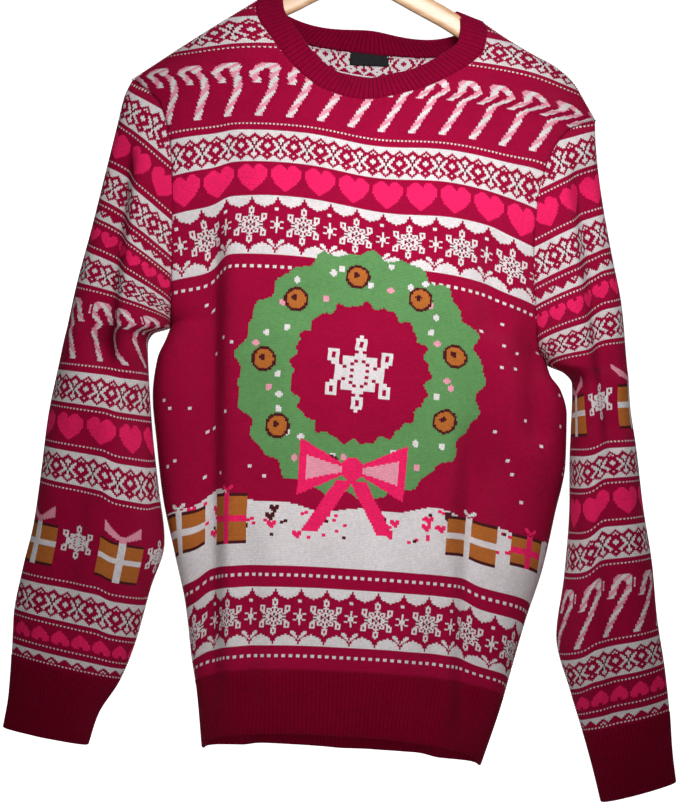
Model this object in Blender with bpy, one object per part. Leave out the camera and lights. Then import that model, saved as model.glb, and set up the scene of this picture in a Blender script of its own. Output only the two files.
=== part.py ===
"""A knitted pullover hung on a contoured wooden hanger.

Metres, +Z up, the front faces -Y. The origin is the point of the wire hook that bears on its rail.
Sizes in the tables are centimetres, heights are measured from that point, and -X is the left side.
Each panel is one grid of cloth: its rows are counted up from the hem rib, its columns run across.
"""
import math
from collections import namedtuple

import bmesh
import bpy
import numpy as np

CM = 0.01
PANEL_WALL = 0.24
RIB_WALL = 0.30
RIB_HEIGHT = 0.12
PANEL_SEAM_GAP = 0.016
SLEEVE_SEAM_GAP = 0.032
RIB_SEAM_GAP = 0.026
CORNER_RELIEF = 2.6
SIDE_Y = 0.3
TOUCH_GAP = 0.03

# Cloth rows, counted in centimetres up from the hem rib
UNDERARM_ROW = 32.0
YOKE_ROW = 52.0
TIP_ROW = 55.0
NECK_ROW = 63.5
NECK_HALF_WIDTH = 10.4
TIP_HALF_WIDTH = 22.0
FRONT_NECK_DROP = 10.2
BACK_NECK_DROP = 4.0
HEM_RIB_DROP = 6.6
NECK_RIB_WIDTH = 2.2
NECK_RIB_LEAN_X = 1.55
NECK_RIB_LEAN_Y = 0.34
NECK_RIB_CENTRE_Y = 0.3
# Loops of a rib, as shares of its width from its seam
RIB_LOOPS = [0.0, 0.08, 0.5, 1.0]

HANGER_HALF_THICKNESS = 0.6
HANGER_DEPTH = 3.0
NECK_CLEARANCE = 0.22
HOOK_WIRE_RADIUS = 0.2
HOOK_RADIUS = 2.1
HOOK_STEM_X = -1.0

Level = namedtuple("Level", "row left_z right_z")
LEVELS = [
    Level(-7.0, -80.7, -81.2),
    Level(0.0, -74.2, -74.5),
    Level(UNDERARM_ROW, -41.0, -42.9),
    Level(TIP_ROW, -17.9, -19.8),
    Level(NECK_ROW, -9.8, -11.0),
]

# Half the flat width of a panel at a row
Width = namedtuple("Width", "row half")
PANEL_WIDTHS = [
    Width(-7.0, 24.5),
    Width(UNDERARM_ROW, 24.5),
    Width(33.2, 22.6),
    Width(34.8, 20.6),
    Width(37.0, 19.0),
    Width(40.0, 18.1),
    Width(47.0, 18.2),
    Width(YOKE_ROW, 19.6),
    Width(TIP_ROW, TIP_HALF_WIDTH),
]

# How far the middle of a row rides above its two ends
Rise = namedtuple("Rise", "row front back")
RISES = [
    Rise(-7.0, 2.6, 0.4),
    Rise(0.0, 2.3, 0.6),
    Rise(20.0, 2.0, 0.8),
    Rise(42.0, 2.0, 0.9),
    Rise(TIP_ROW, 1.3, 0.6),
    Rise(NECK_ROW, 0.0, 0.0),
]

# Edges of the body, each at its own heights: side seams below, armhole seams above
Side = namedtuple("Side", "z x y")
LEFT_SIDE = [
    Side(-81.0, -12.8, 0.5),
    Side(-75.0, -13.6, 0.5),
    Side(-72.0, -14.2, 0.5),
    Side(-67.0, -15.0, 0.5),
    Side(-62.0, -16.3, 0.5),
    Side(-57.0, -17.6, 0.5),
    Side(-52.0, -18.4, 0.5),
    Side(-47.0, -19.0, 0.4),
    Side(-44.0, -18.7, 0.3),
    Side(-42.2, -18.0, 0.3),
    Side(-41.0, -17.6, 0.3),
]
RIGHT_SIDE = [
    Side(-81.5, 13.1, 0.5),
    Side(-75.0, 15.0, 0.5),
    Side(-72.0, 15.7, 0.5),
    Side(-67.0, 16.9, 0.5),
    Side(-62.0, 18.3, 0.5),
    Side(-57.0, 19.2, 0.5),
    Side(-52.0, 20.0, 0.5),
    Side(-47.5, 19.9, 0.4),
    Side(-45.5, 19.3, 0.3),
    Side(-44.2, 18.3, 0.3),
    Side(-42.9, 17.8, 0.3),
]
Armhole = namedtuple("Armhole", "z front_x front_y back_x back_y")
LEFT_ARMHOLE = [
    Armhole(-41.0, -17.6, 0.3, -17.6, 0.3),
    Armhole(-39.5, -17.6, -1.2, -17.6, 1.5),
    Armhole(-36.0, -17.6, -2.5, -17.6, 2.6),
    Armhole(-31.1, -17.7, -3.0, -17.8, 2.9),
    Armhole(-24.4, -18.2, -2.4, -18.4, 2.3),
    Armhole(-20.3, -19.4, -1.5, -19.5, 1.4),
    Armhole(-18.6, -21.2, -0.8, -21.2, 0.8),
    Armhole(-17.9, -22.2, 0.0, -22.2, 0.0),
]
RIGHT_ARMHOLE = [
    Armhole(-42.9, 17.8, 0.3, 17.8, 0.3),
    Armhole(-41.3, 16.9, -1.2, 17.2, 1.5),
    Armhole(-38.0, 16.4, -2.5, 16.8, 2.6),
    Armhole(-32.0, 15.9, -3.0, 16.5, 2.9),
    Armhole(-27.5, 16.1, -2.7, 16.8, 2.6),
    Armhole(-24.0, 16.9, -2.2, 17.4, 2.1),
    Armhole(-20.8, 18.9, -1.2, 19.0, 1.2),
    Armhole(-19.8, 21.3, 0.0, 21.3, 0.0),
]
LEFT_SHOULDER = [Side(-17.9, -22.2, 0.0), Side(-13.6, -16.2, 0.0), Side(-9.8, -10.6, 0.0)]
RIGHT_SHOULDER = [
    Side(-19.8, 21.3, 0.0),
    Side(-18.2, 20.3, 0.0),
    Side(-16.4, 19.1, 0.0),
    Side(-15.0, 17.4, 0.0),
    Side(-13.7, 14.8, 0.0),
    Side(-12.2, 12.1, 0.0),
    Side(-11.0, 10.2, 0.0),
]

# How far front and back stand from the middle plane, and how they round off to their edges
Body = namedtuple("Body", "z front back turn roundness")
BODY = [
    Body(-81.5, -4.9, 4.2, 5.0, 2.0),
    Body(-74.0, -5.0, 4.3, 5.0, 2.0),
    Body(-62.0, -5.4, 4.6, 6.0, 2.0),
    Body(-47.0, -5.3, 4.6, 6.0, 2.0),
    Body(-41.0, -4.9, 4.4, 6.5, 1.8),
    Body(-35.0, -4.6, 4.2, 8.0, 1.4),
    Body(-24.0, -3.5, 3.7, 9.0, 1.5),
    Body(-19.0, -2.9, 3.5, 11.0, 1.8),
    Body(-14.0, -2.4, 3.2, 11.0, 2.0),
    Body(-9.7, -2.2, 2.6, 11.0, 2.0),
]

# A fold is a trough along a line; its sides fall off over their own widths
Fold = namedtuple("Fold", "x_top z_top x_low z_low depth left right fade")
FRONT_FOLDS = [
    Fold(-13.9, -35.0, -12.3, -72.0, 2.8, 3.6, 1.1, 9.0),
    Fold(-9.2, -64.0, -8.8, -76.0, 0.9, 1.6, 1.4, 6.0),
    Fold(12.5, -35.0, 12.3, -40.0, 1.1, 1.6, 1.4, 4.0),
    Fold(16.4, -39.5, 16.8, -50.0, 1.5, 1.4, 1.2, 3.5),
    Fold(11.1, -56.0, 11.3, -76.0, 2.3, 1.3, 3.4, 9.0),
    Fold(8.4, -66.0, 8.3, -76.0, 0.7, 1.2, 1.0, 4.0),
    Fold(-15.0, -22.0, -11.5, -31.0, 0.6, 2.0, 1.5, 3.0),
]
BACK_FOLDS = [
    Fold(-10.5, -38.0, -9.4, -76.0, -2.4, 3.2, 1.1, 10.0),
    Fold(11.2, -42.0, 9.6, -78.0, -2.2, 1.1, 3.4, 10.0),
    Fold(1.5, -52.0, 0.5, -76.0, -0.9, 1.8, 1.6, 9.0),
    Fold(15.5, -30.0, 13.0, -42.0, -0.9, 1.8, 1.4, 5.0),
]

# A sleeve hangs as a flattened tube from its armhole seam
Sleeve = namedtuple("Sleeve", "outer_z outer_x inner_z inner_x front back")
LEFT_SLEEVE = [
    Sleeve(-79.2, -31.6, -80.5, -23.6, -1.4, 1.3),
    Sleeve(-76.0, -31.2, -77.6, -22.8, -1.6, 1.5),
    Sleeve(-72.4, -31.1, -74.3, -20.9, -2.1, 1.9),
    Sleeve(-69.0, -31.1, -71.0, -19.7, -2.6, 2.3),
    Sleeve(-64.0, -30.4, -65.5, -18.4, -3.2, 2.8),
    Sleeve(-60.0, -29.6, -61.3, -17.3, -3.6, 3.2),
    Sleeve(-55.0, -29.1, -56.0, -18.1, -4.2, 3.7),
    Sleeve(-50.0, -28.7, -50.8, -18.9, -4.6, 4.1),
    Sleeve(-45.0, -27.9, -45.4, -19.5, -4.8, 4.3),
    Sleeve(-42.6, -27.5, -42.6, -19.7, -4.8, 4.4),
    Sleeve(-41.6, -27.3, -41.6, -19.2, -4.8, 4.4),
    Sleeve(-41.0, -27.2, -41.0, -17.6, -4.8, 4.4),
    Sleeve(-37.5, -26.6, -37.5, -17.6, -4.6, 4.3),
    Sleeve(-32.0, -25.4, -32.0, -17.7, -4.1, 3.9),
    Sleeve(-26.0, -24.2, -26.0, -18.1, -3.1, 3.0),
    Sleeve(-22.0, -23.4, -22.0, -18.8, -2.2, 2.2),
    Sleeve(-19.5, -22.9, -19.5, -20.0, -1.4, 1.4),
    Sleeve(-17.9, -22.2, -17.9, -22.2, 0.0, 0.0),
]
RIGHT_SLEEVE = [
    Sleeve(-81.5, 31.7, -83.7, 24.8, -1.4, 1.3),
    Sleeve(-78.5, 31.2, -80.6, 23.9, -1.6, 1.5),
    Sleeve(-74.9, 30.8, -77.2, 22.8, -2.0, 1.8),
    Sleeve(-71.0, 30.2, -73.5, 21.5, -2.8, 2.5),
    Sleeve(-66.0, 29.2, -68.0, 19.9, -3.6, 3.1),
    Sleeve(-61.0, 28.5, -62.5, 20.4, -4.3, 3.7),
    Sleeve(-56.0, 27.45, -57.0, 20.6, -5.0, 4.3),
    Sleeve(-50.0, 26.45, -50.6, 20.4, -5.5, 4.8),
    Sleeve(-46.4, 25.75, -46.6, 20.4, -5.5, 4.8),
    Sleeve(-44.5, 25.55, -44.5, 20.3, -5.5, 4.8),
    Sleeve(-43.5, 25.45, -43.5, 19.4, -5.4, 4.8),
    Sleeve(-42.9, 25.35, -42.9, 17.8, -5.3, 4.7),
    Sleeve(-37.0, 24.55, -37.0, 16.5, -4.8, 4.3),
    Sleeve(-32.0, 23.35, -32.0, 16.0, -4.2, 3.8),
    Sleeve(-27.0, 22.25, -27.0, 16.3, -3.2, 3.0),
    Sleeve(-23.5, 21.65, -23.5, 17.2, -2.3, 2.3),
    Sleeve(-21.3, 21.4, -21.3, 18.6, -1.4, 1.4),
    Sleeve(-19.8, 21.3, -19.8, 21.3, 0.0, 0.0),
]
LEFT_SLEEVE_FOLDS = [
    Fold(-22.3, -27.0, -23.2, -43.0, 1.9, 2.2, 0.8, 6.0),
    Fold(-23.4, -43.0, -19.2, -50.5, 1.4, 1.3, 1.3, 2.5),
    Fold(-24.4, -52.0, -26.0, -66.0, 0.8, 1.8, 1.2, 5.0),
]
RIGHT_SLEEVE_FOLDS = [
    Fold(20.1, -27.0, 23.4, -48.0, 1.9, 0.8, 2.2, 6.0),
    Fold(23.2, -54.0, 25.4, -74.0, 1.1, 1.0, 1.8, 6.0),
]
LEFT_SLEEVE_BACK_FOLDS = [
    Fold(-21.5, -29.0, -24.0, -50.0, -1.8, 1.0, 2.0, 7.0),
    Fold(-23.0, -58.0, -26.5, -72.0, -0.7, 1.4, 1.6, 5.0),
]
RIGHT_SLEEVE_BACK_FOLDS = [
    Fold(20.6, -30.0, 22.6, -52.0, -1.7, 2.0, 1.0, 7.0),
    Fold(24.6, -58.0, 26.6, -73.0, -0.7, 1.6, 1.4, 5.0),
]

# Top edge of the hanger between the two necks of the garment, heights of the bare wood
Arm = namedtuple("Arm", "x top")
HANGER_CROWN = [
    Arm(-8.6, -9.6),
    Arm(-6.0, -7.9),
    Arm(-3.4, -6.9),
    Arm(-1.0, -6.5),
    Arm(1.4, -6.9),
    Arm(4.2, -8.4),
    Arm(8.2, -10.7),
]

# Columns of a panel, as shares of half its width; the neck's two corners fall on columns
NECK_SHARE = NECK_HALF_WIDTH / TIP_HALF_WIDTH
SHOULDER_COLUMNS = 8
FRONT_NECK_COLUMNS = 12
BACK_NECK_COLUMNS = 10
LOW_ROWS = [0.0, 3.5, 7.5, 11.5, 15.5, 19.5, 23.5, 27.0, 29.6, 31.2]
ARM_ROWS = [32.0, 33.2, 34.8, 37.0, 40.0, 43.5, 47.0, 50.0]
YOKE_STEPS = [0.0, 0.32, 0.58, 0.78, 0.91, 1.0]
SLEEVE_FRONT_COLUMNS = 8
SLEEVE_BACK_COLUMNS = 6
SLEEVE_LOW_STEPS = [0.02, 0.05, 0.1, 0.18, 0.28, 0.39, 0.5, 0.61, 0.72, 0.82, 0.91, 1.0]
SECTION_SAMPLES = 161
CUFF_RIBS_PER_STEP = 3
HEM_RIBS_PER_STEP = 2
NECK_RIBS_PER_STEP = 4

COLOURS = {
    "cherry_knit": (0.30, 0.008, 0.055, 1.0),
    "cherry_rib": (0.27, 0.006, 0.045, 1.0),
    "label_black": (0.012, 0.011, 0.012, 1.0),
    "beech_wood": (0.72, 0.47, 0.24, 1.0),
    "hook_steel": (0.62, 0.62, 0.64, 1.0),
}


def smooth_row(table, key, at):
    """The table's row at a key, each column on a monotone cubic through the rows."""
    rows = np.array(table, dtype=float)
    keys = rows[:, table[0]._fields.index(key)]
    if keys[0] > keys[-1]:
        rows, keys = rows[::-1], keys[::-1]
    at = min(max(at, keys[0]), keys[-1])
    slot = int(min(max(np.searchsorted(keys, at) - 1, 0), len(keys) - 2))
    slopes = np.diff(rows, axis=0) / np.diff(keys)[:, None]

    def tangent(index):
        if index == 0 or index == len(keys) - 1:
            return slopes[min(index, len(slopes) - 1)]
        before, after = slopes[index - 1], slopes[index]
        same_way = before * after > 0
        total = np.where(same_way, before + after, 1.0)
        return np.where(same_way, 2.0 * before * after / total, 0.0)

    span = keys[slot + 1] - keys[slot]
    t = (at - keys[slot]) / span
    value = (
        (2 * t**3 - 3 * t**2 + 1) * rows[slot]
        + (t**3 - 2 * t**2 + t) * span * tangent(slot)
        + (3 * t**2 - 2 * t**3) * rows[slot + 1]
        + (t**3 - t**2) * span * tangent(slot + 1)
    )
    return table[0]._make(value)


def edge_rise(share, turn, roundness):
    """How far a section has risen to its full depth, share being the way from its edge."""
    way = np.clip(share / turn, 0.0, 1.0)
    return (1.0 - (1.0 - way) ** roundness) ** (1.0 / roundness)


def fold_depth(folds, x, z):
    """The troughs' depth at points of a panel."""
    depth = np.zeros_like(x)
    for fold in folds:
        length = math.hypot(fold.x_low - fold.x_top, fold.z_low - fold.z_top)
        along_x = (fold.x_low - fold.x_top) / length
        along_z = (fold.z_low - fold.z_top) / length
        along = (x - fold.x_top) * along_x + (z - fold.z_top) * along_z
        across = (x - fold.x_top) * -along_z + (z - fold.z_top) * along_x
        beyond = np.maximum(np.maximum(-along, along - length), 0.0)
        fading = np.exp(-((beyond / (0.5 * fold.fade)) ** 2))
        width = np.where(across < 0, fold.left, fold.right)
        depth += fold.depth * fading * np.exp(-((across / width) ** 2))
    return depth


def bowed_section(start, end, mid_y, turns, roundness, folds):
    """A dense curve from one edge point to another, bowed to mid_y and folded, and its lengths."""
    share = 0.5 - 0.5 * np.cos(np.linspace(0.0, math.pi, SECTION_SAMPLES))
    x = start[0] + (end[0] - start[0]) * share
    z = start[2] + (end[2] - start[2]) * share
    width = abs(end[0] - start[0])
    full = edge_rise(share * width, min(turns[0], 0.5 * width + 1e-6), roundness[0])
    full *= edge_rise((1.0 - share) * width, min(turns[1], 0.5 * width + 1e-6), roundness[1])
    flat_y = start[1] + (end[1] - start[1]) * share
    y = flat_y + (mid_y - flat_y) * full + fold_depth(folds, x, z) * full
    points = np.stack([x, y, z], axis=1)
    steps = np.hypot(np.diff(x), np.diff(y))
    lengths = np.concatenate([[0.0], np.cumsum(steps)])
    return points, lengths / max(lengths[-1], 1e-9)


def at_share(section, share):
    """Points of a section at shares of its length."""
    points, lengths = section
    return np.stack([np.interp(share, lengths, points[:, axis]) for axis in range(3)], axis=-1)


def body_edge(face, side, row):
    """The point where a panel ends at a row: side seam, armhole seam or shoulder seam."""
    level = smooth_row(LEVELS, "row", row)
    z = level.left_z if side == "left" else level.right_z
    if row > TIP_ROW:
        seam = smooth_row(LEFT_SHOULDER if side == "left" else RIGHT_SHOULDER, "z", z)
        return (seam.x, seam.y, z)
    if row < UNDERARM_ROW:
        seam = smooth_row(LEFT_SIDE if side == "left" else RIGHT_SIDE, "z", z)
        return (seam.x, seam.y, z)
    seam = smooth_row(LEFT_ARMHOLE if side == "left" else RIGHT_ARMHOLE, "z", z)
    if face == "front":
        return (seam.front_x, seam.front_y, z)
    return (seam.back_x, seam.back_y, z)


def half_width(row):
    """Half the flat width of a panel at a row, straight along the shoulder seams."""
    if row > TIP_ROW:
        along = (row - TIP_ROW) / (NECK_ROW - TIP_ROW)
        return TIP_HALF_WIDTH + (NECK_HALF_WIDTH - TIP_HALF_WIDTH) * along
    return smooth_row(PANEL_WIDTHS, "row", row).half


def shoulder_bulge(side, z):
    """How far a shoulder seam stands outside the straight line between its ends."""
    table = LEFT_SHOULDER if side == "left" else RIGHT_SHOULDER
    tip, corner = table[0], table[-1]
    if z <= tip.z:
        return 0.0
    straight = tip.x + (corner.x - tip.x) * (z - tip.z) / (corner.z - tip.z)
    return smooth_row(table, "z", z).x - straight


def panel_points(face, row, flat_x):
    """Points of the front or back cloth at one row and at flat distances from its middle."""
    start = body_edge(face, "left", row)
    end = body_edge(face, "right", row)
    body = smooth_row(BODY, "z", 0.5 * (start[2] + end[2]))
    mid_y = body.front if face == "front" else body.back
    folds = FRONT_FOLDS if face == "front" else BACK_FOLDS
    turns = (body.turn, body.turn)
    roundness = (body.roundness, body.roundness)
    section = bowed_section(start, end, mid_y, turns, roundness, folds)
    half = half_width(row)
    share = np.clip(0.5 + 0.5 * np.asarray(flat_x) / half, 0.0, 1.0)
    points = at_share(section, share)
    rises = smooth_row(RISES, "row", row)
    rise = rises.front if face == "front" else rises.back
    out = np.abs(2.0 * share - 1.0)
    points[..., 2] += rise * (1.0 - out**3)
    bulge = np.where(share < 0.5, shoulder_bulge("left", start[2]), shoulder_bulge("right", end[2]))
    points[..., 0] -= bulge * (out - out**3)
    return points


def top_row(face, flat_x):
    """The row where a panel ends above a point of its width: neck edge or shoulder seam."""
    out = abs(flat_x)
    if out >= NECK_HALF_WIDTH - 1e-6:
        along = (out - NECK_HALF_WIDTH) / (TIP_HALF_WIDTH - NECK_HALF_WIDTH)
        return NECK_ROW + (TIP_ROW - NECK_ROW) * along
    drop = FRONT_NECK_DROP if face == "front" else BACK_NECK_DROP
    power = 1.85 if face == "front" else 2.6
    return NECK_ROW - drop * (1.0 - (out / NECK_HALF_WIDTH) ** power) ** (1.0 / power)


def column_shares(face, row):
    """Shares of half a panel's width: even below, gathered at the neck's corners above."""
    neck_columns = FRONT_NECK_COLUMNS if face == "front" else BACK_NECK_COLUMNS
    shoulder = np.linspace(NECK_SHARE, 1.0, SHOULDER_COLUMNS + 1)
    even = np.linspace(-1.0, 1.0, neck_columns + 1)
    gathered = np.sin(0.5 * math.pi * even)
    blend = min(max((row - UNDERARM_ROW) / (YOKE_ROW - UNDERARM_ROW), 0.0), 1.0)
    neck = NECK_SHARE * (even + (gathered - even) * blend)
    return np.concatenate([-shoulder[::-1], neck[1:-1], shoulder])


def panel_grid(face):
    """The panel's outer points, rows from the hem rib up, columns from left to right."""
    rows = []
    for row in LOW_ROWS + ARM_ROWS:
        half = half_width(row)
        rows.append(panel_points(face, row, column_shares(face, row) * half))
    shares = column_shares(face, YOKE_ROW)
    for step in YOKE_STEPS:
        line = []
        for share in shares:
            edge_row = YOKE_ROW + (TIP_ROW - YOKE_ROW) * step
            flat_x = share * half_width(edge_row)
            row = YOKE_ROW + (top_row(face, share * TIP_HALF_WIDTH) - YOKE_ROW) * step
            line.append(panel_points(face, row, flat_x))
        rows.append(np.array(line))
    return np.array(rows)


def arm_levels(side):
    """Rows at which the armhole's seam points lie, from its top down."""
    yoke = [YOKE_ROW + (TIP_ROW - YOKE_ROW) * step for step in YOKE_STEPS]
    return (ARM_ROWS + yoke)[::-1]


def sleeve_section(side, face, sleeve, start, end):
    """One half of a sleeve's ring, from the body side to the outer edge."""
    folds = {
        ("left", "front"): LEFT_SLEEVE_FOLDS,
        ("left", "back"): LEFT_SLEEVE_BACK_FOLDS,
        ("right", "front"): RIGHT_SLEEVE_FOLDS,
        ("right", "back"): RIGHT_SLEEVE_BACK_FOLDS,
    }[(side, face)]
    mid_y = sleeve.front if face == "front" else sleeve.back
    inner_round = 2.0 - 0.6 * min(abs(start[1] - SIDE_Y) / 2.5, 1.0)
    return bowed_section(start, end, mid_y, (5.0, 5.0), (inner_round, 2.0), folds)


def sleeve_grid(side):
    """A sleeve's outer points: rows from the shoulder down, columns from front to back round it."""
    table = LEFT_SLEEVE if side == "left" else RIGHT_SLEEVE
    underarm_z = body_edge("front", side, UNDERARM_ROW)[2]
    front_shares = np.linspace(0.0, 1.0, SLEEVE_FRONT_COLUMNS + 1)
    back_shares = np.linspace(0.0, 1.0, SLEEVE_BACK_COLUMNS + 1)
    rows = []
    for row in arm_levels(side):
        front_start = body_edge("front", side, row)
        back_start = body_edge("back", side, row)
        sleeve = smooth_row(table, "outer_z", front_start[2])
        outer = (sleeve.outer_x, 0.0, front_start[2])
        front = sleeve_section(side, "front", sleeve, front_start, outer)
        back = sleeve_section(side, "back", sleeve, back_start, outer)
        rows.append(np.concatenate([at_share(front, front_shares), at_share(back, back_shares)[-2::-1]]))
    end_z = table[2].outer_z
    for step in SLEEVE_LOW_STEPS:
        outer_z = underarm_z + (end_z - underarm_z) * step
        rows.append(sleeve_ring(side, outer_z, front_shares, back_shares))
    return np.array(rows)


def sleeve_ring(side, outer_z, front_shares, back_shares):
    """A closed ring of a sleeve or cuff, named by the height of its outer edge."""
    table = LEFT_SLEEVE if side == "left" else RIGHT_SLEEVE
    sleeve = smooth_row(table, "outer_z", outer_z)
    inner = (sleeve.inner_x, SIDE_Y, sleeve.inner_z)
    outer = (sleeve.outer_x, 0.0, sleeve.outer_z)
    front = sleeve_section(side, "front", sleeve, inner, outer)
    back = sleeve_section(side, "back", sleeve, inner, outer)
    return np.concatenate([at_share(front, front_shares), at_share(back, back_shares)[-2::-1]])


def hem_loops():
    """Loops of the hem rib from its seam down: the front left to right, then the back."""
    loops = []
    for step in RIB_LOOPS:
        row = -HEM_RIB_DROP * step
        half = half_width(row)
        front_line = panel_points("front", row, column_shares("front", row) * half)
        back_line = panel_points("back", row, column_shares("back", row) * half)
        loops.append(np.concatenate([front_line, back_line[-2:0:-1]]))
    return loops


def neck_loops(front_edge, back_edge):
    """Loops of the neck rib from its seam inwards: the front left to right, then the back."""
    seam = np.concatenate([front_edge, back_edge[-2:0:-1]])
    inward_x = -NECK_RIB_LEAN_X * seam[:, 0] / NECK_HALF_WIDTH
    inward_y = -NECK_RIB_LEAN_Y * np.clip((seam[:, 1] - NECK_RIB_CENTRE_Y) / 2.5, -1.0, 1.0)
    lean = np.stack([inward_x, inward_y, np.ones(len(seam))], axis=1)
    lean /= np.linalg.norm(lean, axis=1)[:, None]
    return [seam + step * NECK_RIB_WIDTH * lean for step in RIB_LOOPS]


class Surface:
    """One piece of cloth as a mesh of outer points, equal points made one."""

    def __init__(self, rows, closed):
        self.points = []
        self.faces = []
        self.index = []
        known = {}
        for row in rows:
            line = []
            for point in row:
                key = tuple(np.round(point, 5))
                if key not in known:
                    known[key] = len(self.points)
                    self.points.append(np.array(point, dtype=float))
                line.append(known[key])
            self.index.append(line + line[:1] if closed else line)
        for lower, upper in zip(self.index, self.index[1:]):
            for column in range(len(lower) - 1):
                corners = [lower[column], lower[column + 1], upper[column + 1], upper[column]]
                corners = list(dict.fromkeys(corners))
                if len(corners) > 2:
                    self.faces.append(corners)
        self.points = np.array(self.points)

    def flip(self):
        self.faces = [face[::-1] for face in self.faces]

    def seam_edges(self):
        """Edges that belong to one face only, in the direction in which that face runs."""
        count = {}
        for face in self.faces:
            for a, b in zip(face, face[1:] + face[:1]):
                count[(a, b)] = count.get((a, b), 0) + 1
        return [edge for edge in count if (edge[1], edge[0]) not in count]


def face_normal(surface, face):
    """Area-weighted normal of a face."""
    corners = surface.points[face]
    centre = corners.mean(axis=0)
    normal = np.zeros(3)
    for a, b in zip(corners, np.roll(corners, -1, axis=0)):
        normal += np.cross(a - centre, b - centre)
    return normal


def shared_normals(surfaces):
    """Outward unit normals by point; at a seam each piece has an equal say in the one normal."""
    total = {}
    for surface in surfaces:
        own = {}
        for face in surface.faces:
            normal = face_normal(surface, face)
            for corner in face:
                key = split_key(surface.points[corner])
                own[key] = own.get(key, np.zeros(3)) + normal
        for key, normal in own.items():
            total[key] = total.get(key, np.zeros(3)) + normal / np.linalg.norm(normal)
    return {key: value / np.linalg.norm(value) for key, value in total.items()}


def normals_of(surface, shared):
    return np.array([shared[split_key(point)] for point in surface.points])


def seam_shift(surface, gap):
    """How the points on a piece's edges draw back into it, for the gap at its seams."""
    face_of = {}
    for face in surface.faces:
        for a, b in zip(face, face[1:] + face[:1]):
            face_of[(a, b)] = surface.points[face].mean(axis=0)
    ways = {}
    for a, b in surface.seam_edges():
        run = surface.points[b] - surface.points[a]
        run /= np.linalg.norm(run)
        inward = face_of[(a, b)] - surface.points[a]
        inward -= run * np.dot(inward, run)
        inward /= np.linalg.norm(inward)
        ways.setdefault(a, []).append(inward)
        ways.setdefault(b, []).append(inward)
    shift = np.zeros_like(surface.points)
    for point, inwards in ways.items():
        first, last = inwards[0], inwards[-1]
        square = np.dot(first, last)
        relief = CORNER_RELIEF if square < 0.6 else 1.0
        shift[point] = relief * gap * (first + last) / max(1.0 + square, 0.4)
    return shift


def mesh_object(name, colour, points, faces):
    """A closed solid of the given points in centimetres, its faces turned outwards."""
    mesh = bpy.data.meshes.new(name)
    mesh.from_pydata([tuple(point * CM) for point in np.asarray(points)], [], faces)
    shape = bmesh.new()
    shape.from_mesh(mesh)
    bmesh.ops.recalc_face_normals(shape, faces=shape.faces)
    shape.to_mesh(mesh)
    shape.free()
    mesh.shade_smooth()
    mesh.set_sharp_from_angle(angle=math.radians(50))
    piece = bpy.data.objects.new(name, mesh)
    bpy.context.collection.objects.link(piece)
    piece.data.materials.append(material(colour))
    return piece


def material(name):
    """A plain finish of one colour."""
    if name in bpy.data.materials:
        return bpy.data.materials[name]
    finish = bpy.data.materials.new(name)
    finish.use_nodes = True
    shader = finish.node_tree.nodes["Principled BSDF"]
    shader.inputs["Base Color"].default_value = COLOURS[name]
    shader.inputs["Roughness"].default_value = 0.35 if name == "hook_steel" else 0.85
    shader.inputs["Metallic"].default_value = 1.0 if name == "hook_steel" else 0.0
    return finish


def split_key(point):
    """Orders the points of a seam, so that the pieces on both sides of it split their walls alike."""
    return tuple(np.round(point, 4))


def cut_edge(points, a, b, count):
    """Two triangles across a wall's thickness, split the same way on both pieces of a seam."""
    if split_key(points[a]) < split_key(points[b]):
        return [[b, a, b + count], [a, a + count, b + count]]
    return [[b, a, a + count], [b, a + count, b + count]]


def cloth_wall(name, surface, normals, seam_gap):
    """A panel's wall: its outer points, the same points moved in, and the cut edges between."""
    outer = surface.points + seam_shift(surface, seam_gap)
    inner = outer - normals * PANEL_WALL
    count = len(outer)
    faces = [list(face) for face in surface.faces]
    faces += [[corner + count for corner in face[::-1]] for face in surface.faces]
    for a, b in surface.seam_edges():
        faces += cut_edge(surface.points, a, b, count)
    mesh_object(name, "cherry_knit", np.concatenate([outer, inner]), faces)
    return inner


def rib_wall(name, surface, normals, ribs_per_step):
    """A ring of rib: ridges that rise from its seam on the outer side, over a plain inside."""
    base = surface.points + seam_shift(surface, RIB_SEAM_GAP)
    loops = surface.index
    steps = len(loops[0]) - 1
    parts = 2 * ribs_per_step
    points = []
    outer = []
    inner = []
    for loop in loops:
        at_seam = loop is loops[0]
        wall = PANEL_WALL if at_seam else RIB_WALL
        outer_line = []
        inner_line = []
        for step in range(steps):
            here, after = loop[step], loop[step + 1]
            inner_line.append(len(points))
            points.append(base[here] - normals[here] * wall)
            for part in range(parts):
                share = part / parts
                normal = normals[here] * (1.0 - share) + normals[after] * share
                normal /= np.linalg.norm(normal)
                height = 0.0 if at_seam or part % 2 == 0 else RIB_HEIGHT
                outer_line.append(len(points))
                points.append(base[here] * (1.0 - share) + base[after] * share + normal * height)
        outer.append(outer_line + outer_line[:1])
        inner.append(inner_line + inner_line[:1])
    faces = []
    for upper, lower in zip(outer, outer[1:]):
        for part in range(len(upper) - 1):
            faces.append([upper[part], upper[part + 1], lower[part + 1], lower[part]])
    for upper, lower in zip(inner, inner[1:]):
        for step in range(steps):
            faces.append([upper[step + 1], upper[step], lower[step], lower[step + 1]])
    for loop, line, plain in ((loops[0], outer[0], inner[0]), (loops[-1], outer[-1], inner[-1])):
        for step in range(steps):
            first, last = step * parts, (step + 1) * parts
            to_here = split_key(surface.points[loop[step]]) > split_key(surface.points[loop[step + 1]])
            near = plain[step] if to_here else plain[step + 1]
            faces += [[line[part], line[part + 1], near] for part in range(first, last)]
            faces.append([line[last if to_here else first], plain[step + 1], plain[step]])
    mesh_object(name, "cherry_rib", points, faces)


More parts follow.
